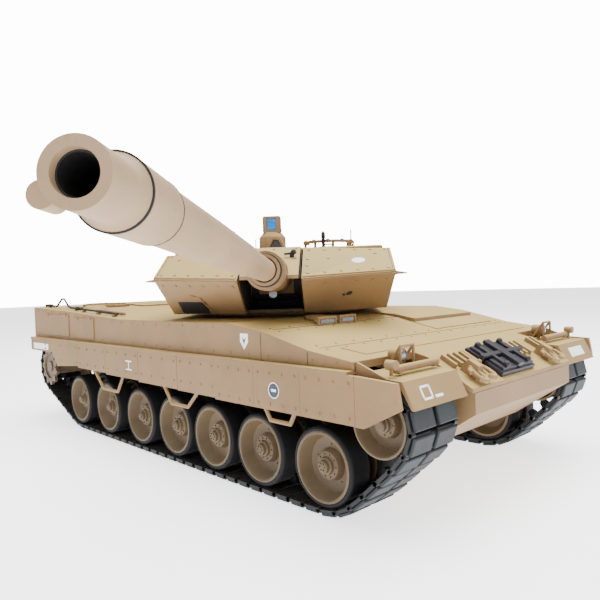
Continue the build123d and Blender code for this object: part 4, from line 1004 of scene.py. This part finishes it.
@dataclass
class Hull:
    """Upper and lower hull with everything fixed to them."""

    side_x: float = 112.0
    heavy_x: float = 117.2
    light_x: float = 116.6
    fender: float = 80.6
    heavy_seams: tuple[float, ...] = (-175.6, -137.8, -99.5, -61.7)
    light_seams: tuple[float, ...] = (-61.7, -17.5, 36.0, 89.7, 144.0, 256.0)
    side_seams: tuple[float, ...] = (-139.3, -101.3)

    def build(self, studs: Studs) -> None:
        """Dress the CAD nodes and add the fittings."""
        for node in ("upper_hull", "lower_hull", "side_skirts", "front_mudguards"):
            dress_node(node, SAND, 0.35)
        dress_node("hull_fittings", SAND, 0.2)
        dress_node("driver_hatch", SAND, 0.25)
        dress_node("hull_screws", STEEL, 0.0)
        for node in ("drive_units", "battery_cover", "power_switch"):
            dress_node(node, BLACK, 0.2)
        dress_node("electronics", BOARD, 0.0)
        dress_node("battery_pack", WRAP, 0.8)
        dress_node("tow_cable", CORD, 0.0)
        dress_node("spare_track_links", SPARE, 0.2)
        dress_node("headlights", SAND, 0.2)
        for side in Side:
            self._skirt(studs, side)
            self._flank(studs, side)
        self._glacis(studs)
        self._nose()
        self._lamps()
        self._deck_load()
        self._marks()

    def _skirt(self, studs: Studs, side: Side) -> None:
        """Bolt rows of the skirts."""
        s, bolts = side.value, []
        for seams, x, low, step in ((self.heavy_seams, self.heavy_x, 59.5, 3),
                                    (self.light_seams, self.light_x, 63.5, 3)):
            for a, b in zip(seams, seams[1:]):
                for i in range(step + 1):
                    y = a + 4 + (b - a - 8) * i / step
                    for z in (low, self.fender - 4.0):
                        if y < 240 or z > 70:
                            bolts.append(((s * x, y, z + (9.0 if y > 188 and z < 70 else 0)),
                                          (s, 0, 0)))
        studs.set(f"skirt_bolts_{side.word}", "hull", SAND, bolts, 0.85, 1.0)

    def _flank(self, studs: Studs, side: Side) -> None:
        """Seams, covers and bolts of the upper side."""
        s, x = side.value, self.side_x
        seams = Mould()
        for y in self.side_seams:
            top = deck_height(y) - 1.2
            seams.box(s * x - 0.06, s * x + 0.06, y - 0.25, y + 0.25, self.fender + 2.4, top)
        seams.cast(f"side_seams_{side.word}", "hull", BLACK, 0.0)
        covers = Mould()
        for y0, y1 in ((118.0, 158.0), (170.0, 226.0)):
            top = deck_height(y0) - 3.0
            x0, x1 = sorted((s * (x - 0.2), s * (x + 0.9)))
            covers.box(x0, x1, y0, y1, 85.5, top)
            for y in (y0 + 7, y1 - 7):
                covers.rod((s * (x + 1.1), y - 2.6, top - 0.6), (s * (x + 1.1), y + 2.6, top - 0.6),
                           0.9, 12)
        covers.cast(f"stowage_covers_{side.word}", "hull", SAND, 0.3)
        spots = []
        for i in range(24):
            y = -160.0 + i * 17.6
            spots.append(((s * x, y, self.fender + 5.0), (s, 0, 0)))
            if y > -70:
                spots.append(((s * x, y, deck_height(y) - 2.6), (s, 0, 0)))
        studs.set(f"side_bolts_{side.word}", "hull", SAND, spots, 0.7, 0.8)

    def _glacis(self, studs: Studs) -> None:
        """Seams and bolts of the sloping front deck, with its raised plate."""
        seams, bolts = Mould(), []
        for y in (-139.5, -101.5):
            seams.at = Matrix.Translation((0, y, deck_height(y)))
            seams.box(-103, 103, -0.3, 0.3, -0.1, 0.12)
            for i in range(14):
                x = -101.0 + i * 15.5
                for shift in (-4.0, 4.0):
                    frame_at = deck_frame(x, y + shift)
                    bolts.append((frame_at.translation, frame_at.to_3x3() @ Vector((0, 0, 1))))
        seams.cast("deck_seams", "hull", BLACK, 0.0)
        studs.set("deck_bolts", "hull", SAND, bolts, 0.75, 0.8)
        plate = Mould()
        plate.at = deck_frame(56.0, -120.5)
        plate.box(-39, 39, -15, 15, -0.3, 0.55)
        plate.at = deck_frame(0.0, -154.0)
        plate.box(-92, 92, -9.0, 9.0, -0.3, 0.45)
        plate.cast("deck_plates", "hull", SAND, 0.25)
        glass = Mould()
        level = deck_height(-102.5)
        for x0, x1 in PERISCOPES:
            glass.box(x0 + 2.2, x1 - 2.2, -103.85, -103.4, level + 1.2, level + 3.6)
        glass.cast("periscope_glass", "hull", PORT, 0.1)

    def _nose(self) -> None:
        """Cross bracket that holds the spare links and the bars beside it."""
        rings = Mould()
        for x in LUG_X:
            rings.at = nose_frame(x)
            for lean in (-1, 1):
                route = [(lean * 3.9 + 5.2 * math.cos(math.radians(a)) * 0.55,
                          4.5 + 5.4 * math.sin(math.radians(a)), 4.6 + 0.5 * lean)
                         for a in range(-150, 151, 30)]
                rings.pipe(route, 1.35, 12)
        rings.cast("shackles", "hull", SAND, 0.0)
        ribs = Mould()
        for x in (-33.0, 48.5, 54.0):
            ribs.at = nose_frame(x)
            ribs.box(-1.2, 1.2, 15.0, 27.5, -0.2, 2.8)
            ribs.ball((0.0, 15.5, 2.4), 1.5, 10)
        ribs.cast("nose_ribs", "hull", SAND, 0.2)
        cross = Mould()
        cross.at = nose_frame(SPARE_X)
        cross.box(-24, 24, 14.6, 17.4, 4.4, 6.2)
        cross.box(-3.2, 3.2, 3.0, 28.0, 4.4, 6.6)
        for x in (-13.0, 13.0):
            cross.box(x - 1.6, x + 1.6, 4.0, 27.0, 4.3, 6.0)
            for y in (5.5, 25.5):
                cross.ball((x, y, 5.6), 2.0, 12)
        for x in (-22.0, 22.0):
            cross.rod((x, 16.0, -0.2), (x, 16.0, 5.4), 1.2, 14)
        cross.cast("spare_link_bracket", "hull", SPARE, 0.25)

    def _lamps(self) -> None:
        """Lenses and wire guards of the headlights."""
        lens, guard = Mould(), Mould()
        for s in (-1, 1):
            x, z = s * LAMP_X, self.fender + 6.6
            lens.lathe([(0, 0), (0, 3.1), (0.5, 2.9), (1.0, 0)], (x, LAMP_Y - 3.55, z),
                       (0, -1, 0), 28)
            guard.pipe([(x - 5.6, -183.0, self.fender), (x - 5.6, -183.0, z + 5.6),
                        (x + 5.6, -183.0, z + 5.6), (x + 5.6, -183.0, self.fender)], 0.75)
            for way in (-5.6, 5.6):
                guard.pipe([(x + way, -183.0, z + 5.6), (x + way, -174.0, self.fender)], 0.75)
        lens.cast("headlight_lenses", "hull", LENS, 0.0)
        guard.cast("headlight_guards", "hull", SAND, 0.0)

    def _deck_load(self) -> None:
        """Cleaning rod and hand tool on the rear deck, with their clamps."""
        rod, clamps, tool = Mould(), Mould(), Mould()
        rod.pipe([(-105.0, 88.0, deck_height(88) + 2.6), (-105.0, 159.0, deck_height(159) + 2.6)],
                 0.9)
        rod.cast("cleaning_rod", "hull", BLACK, 0.0)
        for y in (94.0, 124.0, 153.0):
            z = deck_height(y)
            clamps.box(-106.8, -103.2, y - 1.2, y + 1.2, z - 0.2, z + 1.9)
        clamps.cast("rod_clamps", "hull", SAND, 0.2)
        tool.rod((-97.0, 92.0, deck_height(92) + 2.0), (-97.0, 134.0, deck_height(134) + 2.0), 1.2)
        z = deck_height(137) + 0.2
        tool.box(-100.5, -93.5, 133.0, 139.0, z, z + 2.8)
        tool.cast("hand_tool", "hull", RUST, 0.3)

    def _marks(self) -> None:
        """Plain printed shapes where such models carry markings."""
        x, dark, white = -self.heavy_x, Mould(), Mould()
        dark.rod((x + 0.1, -117.2, 67.6), (x - 0.10, -117.2, 67.6), 4.5, 40)
        white.lathe([(0, 4.5), (0.14, 4.5), (0.14, 4.0), (0, 4.0)], (x, -117.2, 67.6), (-1, 0, 0))
        white.box(x - 0.15, x, -119.2, -115.2, 66.9, 68.3)
        y, z, face = -86.0, 93.0, -self.side_x
        shield = [(-3.6, 4.4), (3.6, 4.4), (3.8, -0.5), (0.0, -5.0), (-3.8, -0.5)]
        white.prism_x([(y + dy, z + dz) for dy, dz in shield], face - 0.09, face)
        dark.prism_x([(y - 1.8, z + 2.4), (y, z + 0.8), (y + 1.8, z + 2.4), (y, z - 2.6)],
                     face - 0.14, face)
        lx = -self.light_x
        for z0, z1 in ((65.0, 65.9), (71.4, 72.3)):
            white.box(lx - 0.1, lx, 46.0, 55.0, z0, z1)
        white.box(lx - 0.1, lx, 50.0, 51.0, 65.9, 71.4)
        white.box(lx - 0.1, lx, 211.0, 249.0, 71.2, 77.0)
        for s, x0, x1, v0, v1 in ((-1, -100.0, -84.0, 0.25, 0.75), (1, 76.0, 98.0, 0.3, 0.75)):
            face = Panel((x0, -205.3, 66.3), (x1, -205.3, 66.3), (x1, -198.8, 79.1),
                         (x0, -198.8, 79.1))
            if s < 0:
                for u0, u1, w0, w1 in ((0.0, 0.5, v1 - 0.08, v1), (0.0, 0.5, v0, v0 + 0.08),
                                       (0.0, 0.07, v0, v1), (0.43, 0.5, v0, v1),
                                       (0.6, 1.0, v0, v0 + 0.1)):
                    face.patch(white, (u0, u1), (w0, w1), -0.1, 0.12)
            else:
                face.patch(white, (0.0, 1.0), (v0, v1), -0.1, 0.12)
        dark.cast("dark_marks", "hull", NAVY, 0.0)
        white.cast("white_marks", "hull", WHITE, 0.0)


@dataclass
class Turret:
    """Turret shell, wedge armour, hatches, sight and the small fittings."""

    def build(self, studs: Studs) -> None:
        """Dress the CAD nodes and add the fittings."""
        for node in ("turret_shell", "wedge_armour", "turret_ring", "turret_fittings",
                     "commander_hatch", "loader_hatch", "peri_sight", "mantlet"):
            dress_node(node, SAND, 0.3)
        dress_node("machine_gun", BLACK, 0.1)
        dress_node("gun_barrel", SAND_BARREL, 0.3)
        for side in Side:
            self._wedge(studs, side)
        self._mantlet(studs)
        self._muzzle()
        self._sight()
        self._roof(studs)

    def _faces(self, s: int) -> tuple[Panel, Panel]:
        """Upper and lower sloping faces of one wedge."""
        tip, end = (s * WEDGE_IN_X, -128.0, 129.2), (s * 82.5, -93.0, 132.4)
        upper = Panel(tip, end, (s * 83.3, -51.5, 150.5), (s * WEDGE_IN_X, -79.0, 150.5), s)
        lower = Panel(tip, end, (s * 79.5, -52.5, 106.5), (s * WEDGE_IN_X, -90.0, 106.5), -s)
        return upper, lower

    def _wedge(self, studs: Studs, side: Side) -> None:
        """Lip, bolts, cut-outs drawn as painted black shade, and spike of one wedge module."""
        s = side.value
        upper, lower = self._faces(s)
        trim = Mould()
        upper.patch(trim, (0.01, 0.99), (0.02, 0.075), -0.2, 1.0)
        lower.patch(trim, (0.01, 0.99), (0.02, 0.06), -0.2, 0.7)
        upper.patch(trim, (0.965, 0.995), (0.08, 0.97), -0.2, 0.7)
        trim.rod((s * 82.6, -84.0, 131.5), (s * 91.0, -83.0, 131.0), 1.4, 16, 0.4)
        trim.cast(f"wedge_trim_{side.word}", "turret", SAND, 0.2, turret=True)
        shares = [0.06 + 0.172 * i for i in range(6)]
        bolts = upper.row(shares, 0.14) + upper.row(shares, 0.93) + lower.row(shares, 0.17)
        bolts += upper.row((0.05, 0.27), 0.6) + upper.row((0.8,), 0.75) + upper.row((0.05,), 0.38)
        studs.set(f"wedge_bolts_{side.word}", "turret", SAND, bolts, 1.05, 1.0, turret=True)
        # The cut-outs are a flat black patch and a black disc: painted shade where openings would be.
        dark = Mould()
        if side is Side.RIGHT:
            lower.patch(dark, (0.46, 0.84), (0.62, 0.97), -0.2, 0.12)
        else:
            centre = lower.at(0.5, 0.5)
            dark.rod(centre - lower.way() * 0.3, centre + lower.way() * 0.15, 2.3, 24)
            dark.ball(lower.at(0.44, 0.52, 0.3), 1.0)
        dark.cast(f"wedge_cut_{side.word}", "turret", BLACK, 0.0, turret=True)
        if side is Side.RIGHT:
            wire = Mould()
            wire.pipe([lower.at(0.62, 0.42, 0.6), lower.at(0.5, 0.5, 0.8),
                       lower.at(0.4, 0.98, 0.8)], 0.45)
            wire.cast("wedge_wire", "turret", SAND, 0.0, turret=True)
            return
        mark = Mould()
        ring = [upper.at(0.6 + 0.075 * math.cos(t * math.pi / 12),
                         0.5 + 0.1 * math.sin(t * math.pi / 12), -0.05) for t in range(24)]
        mark.prism(ring, upper.way() * 0.15)
        mark.cast("wedge_mark", "turret", WHITE, 0.0, turret=True)

    def _mantlet(self, studs: Studs) -> None:
        """Painted shade on rotor and slot, cover plate bolts, hook and the light below the collar."""
        half = MANTLET_HALF
        top = Panel((-half, -126.5, 131.6), (half, -126.5, 131.6), (half, -79.5, 151.9),
                    (-half, -79.5, 151.9))
        spots = top.row((0.08, 0.92), 0.55) + top.row((0.08, 0.5, 0.92), 0.92)
        spots += top.row((0.08, 0.92), 0.75)
        studs.set("mantlet_bolts", "mantlet", SAND, spots, 0.95, 0.9, turret=True)
        # Black sheets on the slot's walls, back and floor: painted shade inside the gun slot.
        slot_shade_sheets = Mould()
        wall = [(-124.0, 129.6), (-79.5, 149.2), (-40.0, 148.8), (-40.0, 109.0), (-88.0, 109.0)]
        for s in (-1, 1):
            slot_shade_sheets.prism_x(wall, *sorted((s * 18.7, s * 19.12)))
        slot_shade_sheets.box(-18.9, 18.9, -40.4, -39.6, 109.0, 148.5)
        slot_shade_sheets.box(-18.9, 18.9, -88.0, -40.0, 108.45, 109.2)
        slot_shade_sheets.cast("slot_liner", "turret", BLACK, 0.0, turret=True)
        # A thin black skin over the rotor deep in the slot: painted shade.
        rotor_shade_skin = Mould()
        for low, high, spans in ((-168, -47, ((-17.8, 17.8),)), (47, 110, ((-17.8, 17.8),)),
                                 (-46, 46, ((-17.8, -12.4), (12.4, 17.8)))):
            turns = [math.radians(low + (high - low) * i / 16) for i in range(17)]
            arc = [(-60.0 - radius * math.cos(t), 131.5 + radius * math.sin(t))
                   for radius, order in ((16.45, turns), (16.8, turns[::-1])) for t in order]
            for x0, x1 in spans:
                rotor_shade_skin.prism_x(arc, x0, x1)
        rotor_shade_skin.cast("rotor_skin", "mantlet", BLACK, 0.0, turret=True)
        hook = Mould()
        base = top.at(0.86, 0.62)
        hook.rod(base, base + top.way() * 3.0, 1.6, 16)
        hook.ball(base + top.way() * 3.2 + Vector((1.2, -1.0, 0)), 1.9)
        hook.pipe([base + top.way() * 2.4,
                   base + top.way() * 2.6 + Vector((-5.0, -1.0, -0.6))], 0.8)
        hook.cast("mantlet_hook", "mantlet", BLACK, 0.1, turret=True)
        collar = Mould()
        for reach, radius in ((150.2, 9.2), (146.2, 9.6), (128.0, 11.6)):
            collar.lathe([(0, radius - 0.6), (0, radius + 0.25), (0.7, radius + 0.25),
                          (0.7, radius - 0.6)], gun_point(reach), gun_point(reach + 1)
                         - gun_point(reach), 48)
        collar.cast("collar_grooves", "mantlet", BLACK, 0.0, turret=True)
        spot = Mould()
        spot.rod(gun_point(100.0, 0.0, -13.0), gun_point(101.6, 0.0, -13.0), 2.6, 24)
        spot.rod(gun_point(66.0, 0.0, -13.0), gun_point(100.1, 0.0, -13.0), 1.4, 16)
        spot.cast("mantlet_light", "mantlet", LENS, 0.0, turret=True)

    def _muzzle(self) -> None:
        """Black cup in the bore as painted shade, and the two seams of the muzzle collar."""
        axis = gun_point(1) - gun_point(0)
        # The black cup inside the muzzle is painted shade for the deep bore.
        bore_shade_and_seams = Mould()
        bore_shade_and_seams.lathe([(0, 0), (0, 3.72), (37.8, 3.72), (37.8, 3.4), (1, 3.4), (1, 0)],
                   gun_point(359.4), axis, 36)
        for reach, radius in ((363.9, 7.1), (383.9, 7.1)):
            bore_shade_and_seams.lathe([(0, radius - 0.6), (0, radius + 0.05), (0.5, radius + 0.05),
                        (0.5, radius - 0.6)], gun_point(reach), axis, 48)
        bore_shade_and_seams.cast("muzzle_bore", "gun_barrel", BLACK, 0.0, turret=True)

    def _sight(self) -> None:
        """Blue window, its frame and side lugs of the stabilised sight."""
        window = Mould()
        window.box(-16.0, -8.0, 33.9, 34.38, ROOF + 20.8, 185.4)
        window.cast("sight_window", "peri_sight", WINDOW, 0.1, turret=True)
        cheeks = Mould()
        for s in (-1, 1):
            x = SIGHT_X + s * 7.3
            cheeks.box(x - 0.6, x + 0.6, 34.0, 46.0, ROOF + 19.0, 186.8)
            cheeks.rod((x, SIGHT_Y, ROOF + 21.0), (x + s * 1.2, SIGHT_Y, ROOF + 21.0), 1.8, 18)
        cheeks.cast("sight_cheeks", "peri_sight", SAND, 0.2, turret=True)

    def _roof(self, studs: Studs) -> None:
        """Roof bolts, hood glass, ring handles and hatch grips."""
        dark = Mould()
        x = HOOD_X
        dark.prism([(x - 5.3, -25.6, ROOF - 0.2), (x + 5.3, -25.6, ROOF - 0.2),
                    (x + 1.6, -25.6, ROOF + 6.4), (x - 1.6, -25.6, ROOF + 6.4)], (0, 17.0, 0))
        dark.cast("hood_glass", "turret", PORT, 0.0, turret=True)
        rail = Mould()
        for i in range(5):
            a = math.radians(195 + i * 37)
            px, py = 38 + 19.6 * math.cos(a), 14 + 19.6 * math.sin(a)
            rail.rod((px, py, ROOF + 6.9), (px, py, ROOF + 7.9), 1.5, 14)
        rail.rod((57.6, 14.0, ROOF + 7.0), (57.6, 14.0, ROOF + 16.5), 0.55, 10)
        rail.cast("ring_handles", "turret", SAND, 0.1, turret=True)
        spots = [((x, y, ROOF), (0, 0, 1)) for x in (-72, 72) for y in (-20, 5, 30)]
        spots += [((x, y, ROOF), (0, 0, 1)) for x in (-58, -20, 20, 58) for y in (70, 110, 152)]
        studs.set("roof_bolts", "turret", SAND, spots, 1.0, 1.0, turret=True)
        for name, (x, y, level) in HATCHES.items():
            grip = Mould()
            z = ROOF + level
            grip.pipe([(x - 4, y - 6, z - 0.3), (x - 4, y - 6, z + 2.2), (x + 4, y - 6, z + 2.2),
                       (x + 4, y - 6, z - 0.3)], 0.6)
            grip.lathe([(0, 9.0), (0, 10.4), (0.5, 10.4), (0.5, 9.0)], (x, y, z - 0.05), (0, 0, 1),
                       40)
            grip.cast(f"{name}_grip", name, SAND, 0.1, turret=True)


# ---------------------------------------------------------------- studio


@dataclass
class Studio:
    """Pale floor, soft light and the camera."""

    eye: tuple[float, float, float] = (-323.76, -355.78, 124.92)
    azimuth: float = -44.15
    elevation: float = 1.27
    roll: float = -1.99
    lens: float = 34.5

    def build(self) -> None:
        """Set up the studio."""
        self._floor()
        self._lights()
        self._camera()

    def _floor(self) -> None:
        """Lay a wide pale floor under the tracks."""
        mould = Mould()
        mould.box(-6000, 6000, -6000, 6000, -20, -0.05)
        bmesh.ops.recalc_face_normals(mould.mesh, faces=mould.mesh.faces)
        for vert in mould.mesh.verts:
            vert.co = frame_point(vert.co)
        data = bpy.data.meshes.new("floor")
        mould.mesh.to_mesh(data)
        mould.mesh.free()
        floor = bpy.data.objects.new("floor", data)
        bpy.context.collection.objects.link(floor)
        graph = Graph("pale floor")
        tint = graph.blend(graph.noise(3.0).spread(0.3, 0.7), (0.90, 0.90, 0.91),
                           (0.93, 0.93, 0.93))
        data.materials.append(graph.finish(Base_Color=tint, Roughness=0.6, Emission_Color=(1, 1, 1, 1),
                                          Emission_Strength=2.0))

    def _lamp(self, name: str, place: Point, target: Point, size: float, power: float,
              colour: Colour = (1, 1, 1)) -> None:
        """Hang one square area lamp, in metres."""
        data = bpy.data.lights.new(name, "AREA")
        data.size, data.energy, data.color = size, power, colour
        lamp = bpy.data.objects.new(name, data)
        lamp.location = place
        way = Vector(target) - Vector(place)
        lamp.rotation_euler = way.to_track_quat("-Z", "Y").to_euler()
        bpy.context.collection.objects.link(lamp)

    def _lights(self) -> None:
        """Large soft lamps overhead and in front, and a pale surround."""
        self._lamp("overhead", (0.1, -0.1, 1.3), (0, 0, 0), 1.4, 52)
        self._lamp("front_left", (-1.3, -1.1, 0.9), (0, 0, 0.05), 1.0, 8)
        self._lamp("front_right", (1.3, -1.2, 0.9), (0, 0, 0.05), 1.0, 9)
        world = bpy.data.worlds.new("surround")
        world.use_nodes = True
        world.node_tree.nodes["Background"].inputs["Color"].default_value = (1, 1, 1, 1)
        nodes = world.node_tree.nodes
        path = nodes.new("ShaderNodeLightPath")
        level = nodes.new("ShaderNodeMapRange")
        level.inputs["To Min"].default_value = 0.6
        level.inputs["To Max"].default_value = 14.0
        world.node_tree.links.new(path.outputs["Is Camera Ray"], level.inputs["Value"])
        world.node_tree.links.new(level.outputs["Result"], nodes["Background"].inputs["Strength"])
        bpy.context.scene.world = world

    def _camera(self) -> None:
        """Place the camera low at the front right corner."""
        a, e, r = (math.radians(v) for v in (self.azimuth, self.elevation, self.roll))
        back = Vector((math.sin(a) * math.cos(e), -math.cos(a) * math.cos(e), math.sin(e)))
        right = (-back).cross(Vector((0, 0, 1))).normalized()
        up = right.cross(-back)
        turn_right = right * math.cos(r) + up * math.sin(r)
        turn_up = -right * math.sin(r) + up * math.cos(r)
        rotation = Matrix((turn_right, turn_up, back)).transposed()
        data = bpy.data.cameras.new("camera")
        data.lens, data.sensor_width = self.lens, 36.0
        data.shift_x, data.shift_y = -0.0052, -0.0034
        data.clip_start = 0.01
        camera = bpy.data.objects.new("camera", data)
        camera.matrix_world = Matrix.Translation(frame_point(self.eye)) @ rotation.to_4x4()
        bpy.context.collection.objects.link(camera)
        bpy.context.scene.camera = camera


def main() -> None:
    """Build everything in order."""
    logging.basicConfig(level=logging.INFO, format="%(name)s: %(message)s")
    studs, links = Studs(), Links()
    Studio().build()
    Hull().build(studs)
    Wheels().build(studs)
    TrackLoop().build(links)
    Turret().build(studs)


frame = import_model()

if __name__ == "__main__":
    main()
